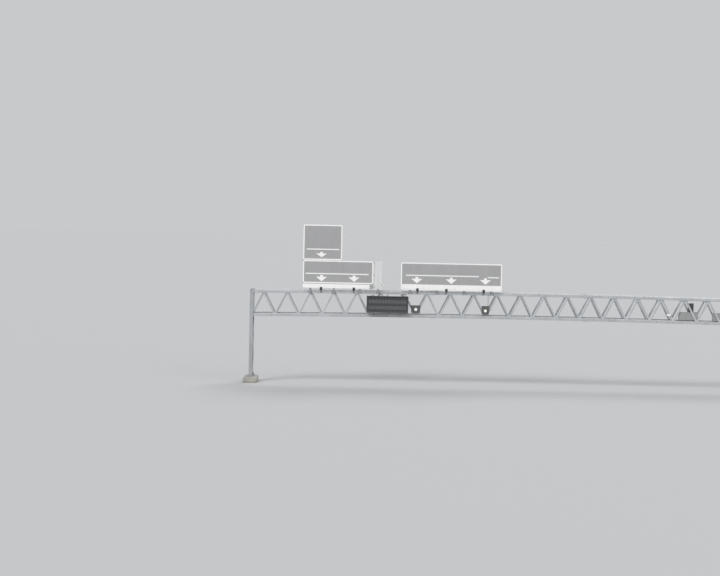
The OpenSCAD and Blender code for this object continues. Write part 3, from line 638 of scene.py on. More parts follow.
# %% [markdown]
# ## Sections along lines
# Hollow steel bars, ribs and weld beads are all one thing to Geometry Nodes: a line with an outline
# swept along it. A bar could be a stretched cube, but a swept outline keeps rounded corners at any
# length and follows the camber without gaps. The tree turns the seed's edges into curves, keeps
# their sides upright, and sweeps a rounded rectangle. The narrow strips round the corners can get
# a lighter edge finish afterwards, partly wear and partly a painted highlight.

# %% Tree that sweeps a rounded section
def upright(tree, geometry):
    """Curves along a seed's edges, whose sides stay upright."""
    line = node(tree, "GeometryNodeMeshToCurve", {"Mesh": geometry})
    return node(tree, "GeometryNodeSetCurveNormal", {"Curve": line}, mode="Z_UP")


section_tree, given = new_tree(
    "Sections along lines", "Width", "Height", "Corner", Steps="Int")
outline = node(section_tree, "GeometryNodeFilletCurve", {
    "Curve": node(section_tree, "GeometryNodeCurvePrimitiveQuadrilateral", {
        "Width": given["Width"], "Height": given["Height"]}),
    "Radius": given["Corner"], "Count": given["Steps"]}, mode="POLY")
close_tree(section_tree, node(section_tree, "GeometryNodeCurveToMesh", {
    "Curve": upright(section_tree, given["Geometry"]), "Profile Curve": outline,
    "Fill Caps": True}), given["Finish"])
print("section tree ready")

# %% Bars, ribs and beads
BEAD = 0.012


def sections(lines, wide, high, corner, finish, steps=2, closed=False, edge_wear_and_highlight=None):
    """Bars of one section along lines, each a list of points. With an edge finish given, partly wear
    and partly a painted highlight, the narrow strips round the corners get it."""
    corners, edges = [], []
    for line in lines:
        ends = range(len(corners), len(corners) + len(line))
        corners += line
        edges += zip(ends, ends[1:])
        if closed:
            edges.append((ends[-1], ends[0]))
    mesh = grown(section_tree, seeded(corners, edges), {
        "Width": wide, "Height": high, "Corner": corner, "Steps": steps, "Finish": finish})
    if edge_wear_and_highlight:
        mesh.materials.append(edge_wear_and_highlight)
        for face in mesh.polygons:
            spots = [mesh.vertices[i].co for i in face.vertices]
            longest = max((a - b).length for a, b in zip(spots, spots[1:] + spots[:1]))
            if len(spots) == 4 and face.area / longest < corner:
                face.material_index = len(mesh.materials) - 1
    return mesh


def welds(rings):
    """Weld beads along closed rings."""
    return sections(rings, BEAD, BEAD, BEAD / 3, weld_steel, 1, closed=True)


def stacked(line, step, count):
    """Copies of a level line, one above another."""
    return [[(x, y, z + i * step) for x, y, z in line] for i in range(count)]


print("weld beads are", BEAD, "m wide")

# %% [markdown]
# ## The lattice sides
# Each side of the boom has two square chords and a zigzag of slanting bars, 22 bays long, with a
# weld bead round every bar's foot. The boom rises slightly towards its middle, so that it looks
# level under its own weight. A smooth arch would leave the bars off the chords: the chords are bent
# only at the bay lines, as the real lengths are cut, and every bar ends where the chords' middles
# are at that place. `rise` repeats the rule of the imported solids.

# %% Sizes of the boom and its camber
BAYS = len(solids("walkway_deck"))
BAY = SPAN / BAYS
truss_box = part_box("truss_front")
HALF_WIDTH = -middle(truss_box).y
SIDES = (-HALF_WIDTH, HALF_WIDTH)
DEPTH, CHORD, LACE = 1.2, 0.15, 0.09
LEG_FACE, END_PLATE, PLATE_SIDE = truss_box[0].x, 0.02, 0.23
LOW_MID = truss_box[0].z + PLATE_SIDE / 2
TOP_MID = LOW_MID + DEPTH
CHORD_MIDS = (LOW_MID, TOP_MID)
CAMBER = truss_box[1].z - CHORD / 2 - TOP_MID
NEAR = 0.001


def rise(x):
    """Height that the camber adds at a place along the boom."""
    def arch(x):
        return CAMBER * (1 - (2 * x / SPAN - 1) ** 2)
    k = min(max(math.floor(x / BAY), 0), BAYS - 1)
    part = x / BAY - k
    return (1 - part) * arch(k * BAY) + part * arch((k + 1) * BAY)


def cambered(x0, x1, y, z):
    """Points of a line that follows the camber."""
    xs = [x0, *[k * BAY for k in range(BAYS + 1) if x0 + NEAR < k * BAY < x1 - NEAR], x1]
    return [(x, y, z + rise(x)) for x in xs]


print(f"{BAYS} bays of {BAY:.4f} m, camber {CAMBER:.3f} m")

# %% Both lattice sides
CHORD_CORNER, LACE_CORNER = 0.014, 0.009
SLOPE = DEPTH / (BAY / 2)
FOOT_HALF = (CHORD / 2 + LACE / 2 * math.hypot(1, SLOPE)) / SLOPE


def bead_ring(x, y, z):
    """Corners of the weld bead round two bars' feet on a chord."""
    return [(x + a * FOOT_HALF, y + b * LACE / 2, z + rise(x + a * FOOT_HALF))
            for a, b in CORNERS]


for side, y in zip(("front", "rear"), SIDES):
    chords = [cambered(LEG_FACE, SPAN - LEG_FACE, y, z) for z in CHORD_MIDS]
    bars, beads = [], []
    for k in range(BAYS):
        peak = (k + 0.5) * BAY
        bars += [[(foot, y, LOW_MID + rise(foot)), (peak, y, TOP_MID + rise(peak))]
                 for foot in (k * BAY, (k + 1) * BAY)]
        beads.append(bead_ring(peak, y, TOP_MID - CHORD / 2))
        if k:
            beads.append(bead_ring(k * BAY, y, LOW_MID + CHORD / 2))
    plates = [slab((x, x + END_PLATE), about(y, PLATE_SIDE / 2), about(z, PLATE_SIDE / 2))
              for x in (LEG_FACE, SPAN - LEG_FACE - END_PLATE) for z in CHORD_MIDS]
    piece(f"lattice_{side}", [
        sections(chords, CHORD, CHORD, CHORD_CORNER, boom_zinc, 3, edge_wear_and_highlight=edge_wear_and_highlight_zinc),
        sections(bars, LACE, LACE, LACE_CORNER, boom_zinc, edge_wear_and_highlight=edge_wear_and_highlight_zinc),
        welds(beads), shaped(plates, boom_zinc, 0.002)], [f"truss_{side}"])

# %% [markdown]
# ## Plan bracing
# Cross bars tie the two sides together, at every upper node and at every lower one, and slanting
# bars between them keep the boom from racking in the wind. They are the same swept sections. Their
# ends run a little way into the chords, so that no gap opens where a slanting bar meets a chord.

# %% Upper and lower bracing
INNER, SUNK = HALF_WIDTH - CHORD / 2, 0.015


def plan_bar(x0, x1, z):
    """Line in plan between the inner faces of the two sides, run on into the chords."""
    over = (x1 - x0) / (2 * INNER) * SUNK
    return [(x0 - over, -INNER - SUNK, z), (x1 + over, INNER + SUNK, z)]


def bracing(name, xs, cross, slant, leans, level):
    """Cross bars at places along the boom and slanting bars between them. Each kind is given
    by its middle's height and its width, height and corner. leans is 0 or 1, for how the first
    slant leans, and level tells a slant's height from the camber at both its ends."""
    pairs = [(a, b) if k % 2 == leans else (b, a) for k, (a, b) in enumerate(zip(xs, xs[1:]))]
    crosses = [plan_bar(x, x, cross[0] + rise(x)) for x in xs]
    slants = [plan_bar(a, b, slant[0] + level(rise(a), rise(b))) for a, b in pairs]
    piece(f"{name}_bars", [
        sections(lines, *size[1:], brace_zinc, edge_wear_and_highlight=edge_wear_and_highlight_zinc)
        for lines, size in ((crosses, cross), (slants, slant))], [name])


bracing("bracing_top", [(k + 0.5) * BAY for k in range(BAYS)],
        (TOP_MID - 0.0325, 0.06, 0.055, 0.006), (TOP_MID - 0.0325, 0.05, 0.055, 0.006),
        0, lambda a, b: (a + b) / 2)
bracing("bracing_floor", [k * BAY for k in range(1, BAYS)],
        (LOW_MID - 0.025, 0.07, 0.08, 0.006), (LOW_MID - 0.035, 0.05, 0.05, 0.005), 1, min)

# %% [markdown]
# ## The walkway grating
# The deck between the two sides is open steel grating: upright bars along the walk, tied by thin
# cross rods, with a flat band at each panel's end. Holes could be faked with a see-through
# material, but real bars give real shadows and let light through. The tree sweeps a whole comb of
# flat bars along each panel's middle line at once, and sets rods across it.

# %% Grating tree
grating_tree, given = new_tree("Open grating", "Deck width", "Bar pitch", "Bar thickness",
                               "Bar depth", "Rod pitch", "Rod size")
tree, wide, rod = grating_tree, given["Deck width"], given["Rod size"]
comb = node(tree, "GeometryNodeInstanceOnPoints", {
    "Points": node(tree, "GeometryNodeMeshLine", {
        "Count": plus(tree, reckon(tree, "DIVIDE", wide, given["Bar pitch"]), 1.01),
        "Start Location": node(tree, "ShaderNodeCombineXYZ", {"X": times(tree, wide, -0.5)}),
        "Offset": node(tree, "ShaderNodeCombineXYZ", {"X": given["Bar pitch"]})}),
    "Instance": node(tree, "GeometryNodeCurvePrimitiveQuadrilateral", {
        "Width": given["Bar thickness"], "Height": given["Bar depth"]})})
run = upright(tree, given["Geometry"])
bars = node(tree, "GeometryNodeCurveToMesh", {
    "Curve": run, "Fill Caps": True,
    "Profile Curve": node(tree, "GeometryNodeRealizeInstances", {"Geometry": comb})})
rods = node(tree, "GeometryNodeInstanceOnPoints", {
    "Points": node(tree, "GeometryNodeCurveToPoints", {
        "Curve": run, "Length": given["Rod pitch"]}, mode="LENGTH"),
    "Instance": node(tree, "GeometryNodeMeshCube", {
        "Size": node(tree, "ShaderNodeCombineXYZ", {"X": rod, "Y": wide, "Z": rod})})})
both = tree.nodes.new("GeometryNodeJoinGeometry")
for part in (bars, rods):
    feed(tree, both, {0: part})
close_tree(tree, both.outputs[0], given["Finish"])
print("grating tree ready")

# %% Deck panels
DECK_MID, DECK_THICK, BAND = LOW_MID + 0.03, 0.03, 0.004
DECK_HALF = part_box("walkway_deck")[1].y
panels, bands = [], []
for low, high in solids("walkway_deck"):
    panels += [(x, 0.0, DECK_MID + rise(x)) for x in (low.x, high.x)]
    bands += [[(x, y, DECK_MID + rise(x)) for y in (-DECK_HALF, DECK_HALF)]
              for x in inset((low.x, high.x), BAND / 2)]
grating = grown(grating_tree, seeded(panels, [(2 * i, 2 * i + 1) for i in range(BAYS)]), {
    "Deck width": 2 * DECK_HALF - BAND, "Bar pitch": 0.0164, "Bar thickness": 0.003,
    "Bar depth": DECK_THICK, "Rod pitch": 0.05, "Rod size": 0.006, "Finish": grate_zinc})
piece("walkway_grating", [
    grating, sections(bands, BAND, DECK_THICK, 0.0005, grate_zinc, 1)], ["walkway_deck"])

# %% [markdown]
# ## Nuts and studs
# Everything on the gantry is held by galvanised bolts. One tree grows them all: a washer, a six-
# sided nut and the stud's end, sized from the bolt's diameter, on points that carry their own
# direction. Threads would cost thousands of faces and never show. The covers of the boom's joints
# have rows of bolts on all four faces of each chord, and the end plates are bolted to the columns.

# %% Bolt tree, its shapes given by sides, and radius, height and middle in diameters
WASHER, NUT, STUD = (16, 1.05, 0.18, 0.09), (6, 0.95, 0.75, 0.555), (8, 0.5, 1.4, 0.7)
bolt_tree, given = new_tree("Nuts on points", "Diameter")
tree, wide = bolt_tree, given["Diameter"]
turned = tree.nodes.new("GeometryNodeJoinGeometry")
for sides, radius, tall, lift in (WASHER, NUT, STUD):
    disc = node(tree, "GeometryNodeMeshCylinder", {
        "Vertices": sides, "Radius": times(tree, wide, radius), "Depth": times(tree, wide, tall)})
    up = node(tree, "ShaderNodeCombineXYZ", {"Z": times(tree, wide, lift)})
    feed(tree, turned, {
        0: node(tree, "GeometryNodeTransform", {"Geometry": disc, "Translation": up})})
turn = node(tree, "GeometryNodeInputNamedAttribute", {"Name": "turn"}, data_type="FLOAT_VECTOR")
close_tree(tree, node(tree, "GeometryNodeInstanceOnPoints", {
    "Points": given["Geometry"], "Instance": turned.outputs[0],
    "Rotation": node(tree, "FunctionNodeEulerToRotation", {"Euler": turn})}), given["Finish"])
print("bolt tree ready")

# %% Bolts of the joint covers and end plates
X_WAY, Y_WAY, Z_WAY = Vector((1, 0, 0)), Vector((0, 1, 0)), Vector((0, 0, 1))
COVER, PLATE_BOLT = CHORD / 2 + 0.01, 0.095
ALONG, ACROSS = (-0.1, -0.05, 0.05, 0.1), (-0.035, 0.035)


def bolts(places, diameter, finish=bolt_zinc):
    """Nuts and studs at places, each a point and the direction that it faces."""
    seed = seeded([p for p, _ in places])
    turns = seed.attributes.new("turn", "FLOAT_VECTOR", "POINT")
    for item, (_, way) in zip(turns.data, places):
        item.vector = Vector(way).to_track_quat("Z", "Y").to_euler()
    return grown(bolt_tree, seed, {"Diameter": diameter, "Finish": finish})


joints = sorted({round(middle(box).x, 4) for box in solids("joint_covers")})
places = []
for joint, along, mid, y, across, s in product(
        joints, ALONG, CHORD_MIDS, SIDES, ACROSS, (-1, 1)):
    x, z = joint + along, mid + rise(joint + along)
    places += [((x, y + across, z + s * COVER), Z_WAY * s),
               ((x, y + s * COVER, z + across), Y_WAY * s)]
for x, s in ((LEG_FACE + END_PLATE, 1), (SPAN - LEG_FACE - END_PLATE, -1)):
    places += [((x, y + a * PLATE_BOLT, z + b * PLATE_BOLT), X_WAY * s)
               for y, z, a, b in product(SIDES, CHORD_MIDS, (-1, 0, 1), (-1, 0, 1)) if a or b]
piece("boom_bolts", [bolts(places, 0.011)])
print("joints at", joints)

# %% [markdown]
# ## Legs
# Each leg is a flat frame across the boom: two square columns, level rails and slanting braces
# between them, and a heavier cross tube that the lower chords rest against. Knee plates stiffen
# the corners round the boom. One cut-out mesh would be quicker, but each bar is its own closed
# part with its edges broken, as it is cut and welded on the real leg.

# %% Sizes of the legs
leg_low, leg_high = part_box("leg_left")
BASE_LOW, BASE_TOP, BASE_HALF = leg_low.z, leg_low.z + 0.025, leg_high.x
COLUMN, CAP, LEG_BAR, LEG_PANELS = LEG_FACE, 0.01, 0.09, 3
COLUMN_TOP = leg_high.z - CAP
KNEE, KNEE_LIP, PLATE_HALF, LAP = 0.2, 0.02, 0.006, 0.001
RAIL_FOOT = BASE_LOW + 0.17
PANEL_STEP = (LOW_MID - RAIL_FOOT) / LEG_PANELS
LEG_RAILS = [RAIL_FOOT + i * PANEL_STEP for i in range(LEG_PANELS)]
LEVEL_BARS = [*[(z, LEG_BAR / 2) for z in (*LEG_RAILS, TOP_MID)], (LOW_MID, CHORD / 2)]
STIFFENER = [(COLUMN + a, BASE_TOP + b) for a, b in (
    (-LAP, -LAP), (0.085, -LAP), (0.085, 0.02), (0.02, 0.12), (-LAP, 0.12))]
KNEE_PLATE = ((LAP, -LAP), (-KNEE, -LAP), (-KNEE, KNEE_LIP), (-KNEE_LIP, KNEE), (LAP, KNEE))


def brace(p, q, wide):
    """Outline of a flat bar between two points of a plane."""
    p, q = Vector(p), Vector(q)
    across = Vector((p.y - q.y, q.x - p.x)).normalized() * wide / 2
    return [tuple(v) for v in (p + across, q + across, q - across, p - across)]


def both_ways(x, y, outline, half):
    """Two upright plates of one outline, square to each other, on a column at x and y."""
    return [prism([(at + a, b) for a, b in outline], axis, *about(across, half))
            for at, axis, across in ((x, "y", y), (y, "x", x))]


print(f"leg rails {PANEL_STEP:.3f} m apart")

# %% Both legs
for side, x in (("left", 0.0), ("right", SPAN)):
    bars = [slab(about(x, COLUMN), about(y, COLUMN), (BASE_TOP - LAP, COLUMN_TOP)) for y in SIDES]
    bars += [slab(about(x, half), SIDES, about(z, half)) for z, half in LEVEL_BARS]
    for z, y in zip(LEG_RAILS, SIDES * 2):
        bars.append(prism(brace((y, z), (-y, z + PANEL_STEP), LEG_BAR - LAP), "x",
                          *about(x, (LEG_BAR - LAP) / 2)))
    plates = []
    for y in SIDES:
        plates += [slab(about(x, half), about(y, half), zs) for half, zs in (
            (COLUMN + CAP, (COLUMN_TOP, COLUMN_TOP + CAP)), (BASE_HALF, (BASE_LOW, BASE_TOP)))]
        for s in (-1, 1):
            plates += both_ways(x, y, [(s * a, b) for a, b in STIFFENER], PLATE_HALF)
    for (z, s), m in product(((LOW_MID + CHORD / 2, 1), (TOP_MID - LEG_BAR / 2, -1)), (-1, 1)):
        knee = [(m * (HALF_WIDTH - COLUMN + a), z + s * b) for a, b in KNEE_PLATE]
        plates.append(prism(knee, "x", *about(x, PLATE_HALF)))
    piece(f"leg_{side}_frame", [
        shaped(bars, leg_zinc, 0.007, edge_wear_and_highlight_zinc),
        shaped(plates, leg_zinc, 0.002, edge_wear_and_highlight_zinc)], [f"leg_{side}"])

# %% [markdown]
# ## Feet of the legs
# Four studs come up out of the concrete through each base plate. The plate is bedded on mortar,
# which shows as a sloping grey edge round it. Weld beads run round the rails where they meet the
# columns. A dark line in a finish could stand for all of these, but only shapes catch the light
# at the foot, where the leg is seen from close by.

# %% Anchors, mortar and leg welds
MORTAR, ANCHOR = 0.016, 0.15
MORTAR_EDGE = ((BASE_HALF, BASE_LOW), (BASE_HALF + MORTAR, BASE_LOW),
               (BASE_HALF, BASE_LOW + MORTAR * 0.7))
studs, mortar = [], []
for x, y in product((0.0, SPAN), SIDES):
    studs += [((x + a * ANCHOR, y + b * ANCHOR, BASE_TOP), Z_WAY) for a, b in CORNERS]
    for s in (-1, 1):
        mortar += both_ways(x, y, [(s * a, b) for a, b in MORTAR_EDGE], BASE_HALF)
beads = [[(x + a * half, y, z + b * half) for a, b in CORNERS]
         for x, y, (z, half) in product((0.0, SPAN), inset(SIDES, COLUMN), LEVEL_BARS)]
piece("leg_fixings", [bolts(studs, 0.021), shaped(mortar, grout), welds(beads)])

# %% [markdown]
# ## White strips on the signs
# The border, the divider and the arrows that point down are cut from white sheet and stuck on. The
# pale band along the lower sign's lower edge is painted light, the glow of the lamps below it, made
# of the same sheet. A finish could paint them, but they stand a millimetre and a half proud, and that
# thin edge catches the light. Each is an outline made solid towards -Y.

# %% Rounded outlines and flat frames
def rounded(xs, zs, r, steps=6):
    """Outline of a rounded rectangle that fills a range in X and Z."""
    points = []
    for start, (a, b) in enumerate(((1, 1), (0, 1), (0, 0), (1, 0))):
        x, z = xs[a] + r * (1 - 2 * a), zs[b] + r * (1 - 2 * b)
        turns = [math.pi / 2 * (start + i / steps) for i in range(steps + 1)]
        points += [(x + r * math.cos(turn), z + r * math.sin(turn)) for turn in turns]
    return points


def ring(outer, inner, ys):
    """Flat frame between two outlines with as many points."""
    return skin([[(x, y, z) for x, z in loop] for loop, y in (
        (outer, ys[0]), (inner, ys[0]), (inner, ys[1]), (outer, ys[1]))], closed=True)


def rounded_ring(xs, zs, wide, r, inner_r, ys, steps=6):
    """Flat frame of one width with rounded corners."""
    return ring(rounded(xs, zs, r, steps),
                rounded(inset(xs, wide), inset(zs, wide), inner_r, steps), ys)


print("a rounded outline has", len(rounded((0, 1), (0, 1), 0.1)), "points")

# %% Strips on the three signs
SHEET = (FACE_Y - 0.0015, FACE_Y)
EDGE, LINE, THIN = 0.006, 0.064, 0.056
HEAD_SIDE, SHAFT_SIDE = 0.285, 0.075
ARROW = tuple(sign_low.z + up for up in (0.68, 0.59, 0.35))


def border(xs, zs, r=0.06):
    """White border of a face."""
    return rounded_ring(xs, zs, LINE, r, max(r - LINE, 0.012), SHEET)


def patch(xs, zs, r=0.01):
    """Flat piece of white sheet on the face."""
    return prism(rounded(xs, zs, r, 3), "y", *SHEET)


def divider(x0, x1, z):
    """Thin level strip."""
    return patch((x0, x1), (z, z + THIN))


def arrow(x, shaft_top, head_top, tip):
    """Arrow that points down."""
    right = [(0.0, tip), (HEAD_SIDE, head_top), (SHAFT_SIDE, head_top), (SHAFT_SIDE, shaft_top)]
    left = [(-a, b) for a, b in right[:0:-1]]
    return prism([(x + a, b) for a, b in right + left], "y", *SHEET)


(x0, x1), _, (z0, z1) = zip(*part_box("sign_upper"))
strips = [border(inset((x0, x1), EDGE), inset((z0, z1), EDGE)),
          divider(x0 + 0.19, x1 - 0.16, z0 + 0.526),
          arrow(middle(HEADS[0]).x - 0.017, z0 + 0.414, z0 + 0.339, z0 + 0.144)]
(x0, x1), _, (z0, z1) = zip(*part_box("sign_lower"))
strips += [border(inset((x0, x1), EDGE), (z0 + 0.252, z1 - EDGE), 0.1),
           # The band along the lower edge is painted light: the glow of the sign lamps, made of white
           # sheet.
           patch((x0 + EDGE, x1 - 0.18), (z0 + EDGE, z0 + 0.222), 0.04),
           divider(x0 + 0.157, x1 - 0.24, z0 + 0.72),
           *[arrow(middle(head).x, *ARROW) for head in HEADS[:2]]]
(x0, x1), _, (z0, z1) = zip(*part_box("sign_middle"))
within = EDGE + LINE + 0.004
strips += [border(inset((x0, x1), EDGE), inset((z0, z1), EDGE)),
           patch(inset((x0, x1), within), (z0 + within, z0 + 0.3), 0.012),
           divider(x0 + 0.264, x0 + 4.024, z0 + 0.732),
           divider(x0 + 4.484, x1 - 0.168, z0 + 0.692),
           *[arrow(x0 + along, *ARROW) for along in (0.834, 2.602, 4.362)]]
piece("sign_strips", [shaped(strips, white_sheet_and_painted_glow)])

# %% [markdown]
# ## Backs of the signs
# From behind, the planks show their ribs, a pair at every joint, and the level rails are clipped to
# them. A bump in the finish would look flat from the side, so the ribs are short sections along
# lines again. Where a rail lies, the rib is left out, as the clips sit there.

# %% Ribs on the backs
BACK_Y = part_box("sign_lower")[1].y
RIB_DEEP, RIB_HIGH, RIB_APART, END_GAP, RAIL_GAP = 0.014, 0.008, 0.011, 0.03, 0.05
ribs = []
for name in ("sign_lower", "side_panel", "sign_middle", "sign_upper"):
    low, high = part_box(name)
    rails = [middle(rail).z for rail in RAILS if rail[0].x < high.x and rail[1].x > low.x]
    for k in range(1, math.ceil((high.z - END_GAP - sign_low.z) / PLANK)):
        z = sign_low.z + k * PLANK
        if z > low.z + END_GAP and min(abs(z - rail) for rail in rails) > RAIL_GAP:
            rib = [(x, BACK_Y + RIB_DEEP / 2, z - RIB_APART)
                   for x in inset((low.x, high.x), END_GAP)]
            ribs += stacked(rib, 2 * RIB_APART, 2)
piece("plank_ribs", [sections(ribs, RIB_DEEP, RIB_HIGH, 0.001, rail_metal, 1)])

# %% [markdown]
# ## Copies of one shape
# Clips, lamp heads and small lamps repeat many times without a change. A loop could build each
# one again, but here the shape is made once, and a tree sets copies of it on points. That keeps
# every copy the same and needs only the list of places.

# %% Tree that sets copies of one shape
copy_tree, given = new_tree("Copies on points", Shape="Object")
close_tree(copy_tree, node(copy_tree, "GeometryNodeInstanceOnPoints", {
    "Points": given["Geometry"],
    "Instance": node(copy_tree, "GeometryNodeObjectInfo", {"Object": given["Shape"]},
                     out="Geometry")}), given["Finish"])


def copies(shape_mesh, places, finish):
    """Copies of a mesh at points."""
    shape = put("shape", shape_mesh)
    mesh = grown(copy_tree, seeded(places), {"Shape": shape, "Finish": finish})
    bpy.data.objects.remove(shape)
    return mesh


print("copy tree ready")

# %% [markdown]
# ## Fixings of rails and posts
# Rails meet posts at clips: a bent plate on each side of the post, one bolt through the rail and
# one through the post. Typed-in places would be wrong once a post is moved, so clips go to every
# crossing of a post's box and a rail's box. Each post has an ear plate on either side, bolted to
# the upper chord, and the struts' feet and the lamp arms' foot plates are bolted too.

# %% Rail clips
POST_HALF = (POSTS[0][1].x - POSTS[0][0].x) / 2
POST_FRONT, CHORD_FRONT = POSTS[0][0].y, POSTS[0][1].y
LEG, PLATE, CLIP_HALF, BOLT_OUT, BOLT_BACK = 0.038, 0.004, 0.022, 0.022, 0.024
CLIP = ((0.0, 0.0), (LEG, 0.0), (LEG, PLATE), (PLATE, PLATE), (PLATE, LEG), (0.0, LEG))
crossings = [(middle(post).x, middle(rail).z) for post, rail in product(POSTS, RAILS)
             if rail[0].x < middle(post).x < rail[1].x and post[0].z < middle(rail).z < post[1].z]
clips, places = [], []
for s in (1, -1):
    shape = prism([(s * a, b) for a, b in CLIP], "z", *about(0.0, CLIP_HALF))
    clips.append(copies(shaped([shape], rail_metal), [
        (x + s * POST_HALF, POST_FRONT, z) for x, z in crossings], rail_metal))
    for x, z in crossings:
        places += [((x + s * (POST_HALF + BOLT_OUT), POST_FRONT + PLATE, z), Y_WAY),
                   ((x + s * (POST_HALF + PLATE), POST_FRONT + BOLT_BACK, z), X_WAY * s)]
piece("rail_clips", [*clips, bolts(places, 0.007)])
print(len(crossings), "crossings of posts and rails")

# %% Post ears and strut bolts
EAR_WIDE, EAR_HALF, EAR_THICK, EAR_BOLT, EAR_BOLT_UP = 0.05, 0.07, 0.008, 0.027, 0.045
STRUT_BOLTS, STRUT_HALF = ((0.39, 0.055), (0.34, 0.068)), 0.03
ARM_HALF, FOOT_THICK, FOOT_BOLT = 0.02, 0.01, 0.03
ears, places = [], []
for x, s in product([middle(post).x for post in POSTS], (-1, 1)):
    mid = TOP_MID + rise(x)
    ears.append(slab((x + s * POST_HALF, x + s * (POST_HALF + EAR_WIDE)),
                     (CHORD_FRONT - EAR_THICK, CHORD_FRONT), about(mid, EAR_HALF)))
    places += [((x + s * (POST_HALF + EAR_BOLT), CHORD_FRONT - EAR_THICK, z), -Y_WAY)
               for z in about(mid, EAR_BOLT_UP)]
    places += [((x + s * STRUT_HALF, y, mid + up), X_WAY * s) for y, up in STRUT_BOLTS]
for arm in solids("lamp_arms"):
    places += [((x, CHORD_FRONT - FOOT_THICK, arm[0].z + ARM_HALF), -Y_WAY)
               for x in about(middle(arm).x, FOOT_BOLT)]
piece("post_fixings", [shaped(ears, post_zinc, 0.0015), bolts(places, 0.009)])

# %% [markdown]
# ## Sign lamps
# Five lamps stand on arms in front of the signs and look up at them. A real head is a cast box
# with cooling fins on its back and a framed glass on its slope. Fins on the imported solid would
# make the head larger, so they fill the gap between a slimmer box and the solid's outline. The
# head is made once and set on five points.

# %% One lamp head
HEAD_HALF = (HEADS[0][1].x - HEADS[0][0].x) / 2
BODY = [(-0.06, 0.004), (0.075, 0.004), (0.075, 0.06), (-0.015, 0.16), (-0.06, 0.126)]
FIN = [(-0.075, 0.01), (-0.06, 0.01), (-0.06, 0.126), (-0.016, 0.159), (-0.075, 0.12)]
FINS, FIN_STEP, FIN_HALF = 9, 0.0145, 0.0015
FRAME, FRAME_PROUD, SIDE_BACK, PIVOT_UP = 0.011, 0.007, 0.002, 0.03
slope_foot, slope = Vector(BODY[2]), Vector(BODY[3]) - Vector(BODY[2])
along, far = slope.normalized(), slope.length
lift = Vector((along.y, -along.x)) * FRAME_PROUD
head_xs = about(0.0, HEAD_HALF)
head_parts = [prism(BODY, "x", *about(0.0, HEAD_HALF - SIDE_BACK))]
head_parts += [prism(FIN, "x", *about((i - FINS // 2) * FIN_STEP, FIN_HALF)) for i in range(FINS)]
for a, b, ends in (
        (0.0, FRAME, head_xs), (far - FRAME, far, head_xs),
        (FRAME, far - FRAME, (head_xs[0], head_xs[0] + FRAME)),
        (FRAME, far - FRAME, (head_xs[1] - FRAME, head_xs[1]))):
    p, q = slope_foot + along * a, slope_foot + along * b
    head_parts.append(prism([tuple(v) for v in (p, q, q + lift, p + lift)], "x", *ends))
print(len(head_parts), "parts in one head")

# %% Five lamp heads
feet = [Vector((middle(head).x, middle(head).y, head[0].z)) for head in HEADS]
places = [(foot + Vector((s * (HEAD_HALF - SIDE_BACK), 0.0, PIVOT_UP)), X_WAY * s)
          for foot, s in product(feet, (-1, 1))]
piece("lamp_bodies", [
    copies(shaped(head_parts, dark_coat, 0.0012), feet, dark_coat), bolts(places, 0.012)],
    ["lamp_heads"])

# %% [markdown]
# ## The message sign
# A lamp matrix sign shows two rows of characters, each a block of 5 by 7 small lamps. Switched off
# it is nearly black, with the two rows a little lighter. A picture of dots would blur from close
# by, so each block is a shallow module with domes set on it by nodes. The case has a clamped front
# frame, lifting lugs on its roof, and doors with vents behind, which open towards the walkway.

# %% Character modules and their lamps
screen_low, screen_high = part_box("message_screen")
SCREEN_Y = screen_low.y
ROWS = (screen_low.z + 0.21, screen_high.z - 0.232)
COLUMNS, COLUMN_STEP, PIXEL, MODULE_PROUD = 12, 0.163, 0.0235, 0.006
DOME = [(0.0085, 0.0), (0.0075, 0.003), (0.004, 0.005)]
front = SCREEN_Y - MODULE_PROUD
modules, pixels = [], []
for z, i in product(ROWS, range(COLUMNS)):
    x = middle((screen_low, screen_high)).x + (i - (COLUMNS - 1) / 2) * COLUMN_STEP
    modules.append(slab(
        about(x, 3 * PIXEL + 0.004), (front, SCREEN_Y), about(z, 4 * PIXEL - 0.002)))
    pixels += [(x + (c - 2) * PIXEL, front, z + (r - 3) * PIXEL)
               for c, r in product(range(5), range(7))]
piece("message_modules", [
    shaped(modules, module_black, 0.001),
    copies(shaped([spun(DOME, (0, 0, 0), 8)], pixel_grey), pixels, pixel_grey)])
print(len(pixels), "small lamps")

# %% Doors, hinges, handles and vents
case_xs, (_, CASE_BACK), case_zs = zip(*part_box("message_case"))
DOOR_THICK, CUT_HALF, HINGE_END = 0.006, 0.045, 0.07
HANDLE_ZS, BACK_LOUVRES, SIDE_LOUVRES = (0.33, 0.45), (0.02, 8), (0.022, 10)
cuts = [middle(box).x for box in solids("message_hangers")]
cuts = [case_xs[0] - 0.01, *cuts, case_xs[1] + 0.01]
door_zs = inset(case_zs, 0.05)
fittings, vents = [], []
for x0, x1 in [inset(pair, CUT_HALF) for pair in zip(cuts, cuts[1:])]:
    fittings += [slab((x0, x1), (CASE_BACK, CASE_BACK + DOOR_THICK), door_zs),
                 slab((x1 - 0.05, x1 - 0.03), (CASE_BACK + DOOR_THICK, CASE_BACK + 0.022),
                      [door_zs[0] + up for up in HANDLE_ZS])]
    fittings += [slab(about(x0, 0.012), (CASE_BACK, CASE_BACK + 0.014), about(z, 0.03))
                 for z in (*inset(door_zs, HINGE_END), sum(door_zs) / 2)]
    vents += stacked([(x, CASE_BACK + 0.008, door_zs[1] - 0.19) for x in about(
        (x0 + x1) / 2, min((x1 - x0) / 2 - 0.06, 0.16))], *BACK_LOUVRES)
for x in inset(case_xs, -0.003):
    vents += stacked([(x, y, case_zs[0] + 0.21) for y in (CASE_BACK - 0.195, CASE_BACK - 0.045)],
                     *SIDE_LOUVRES)
print(len(cuts) - 1, "doors,", len(vents), "slats")

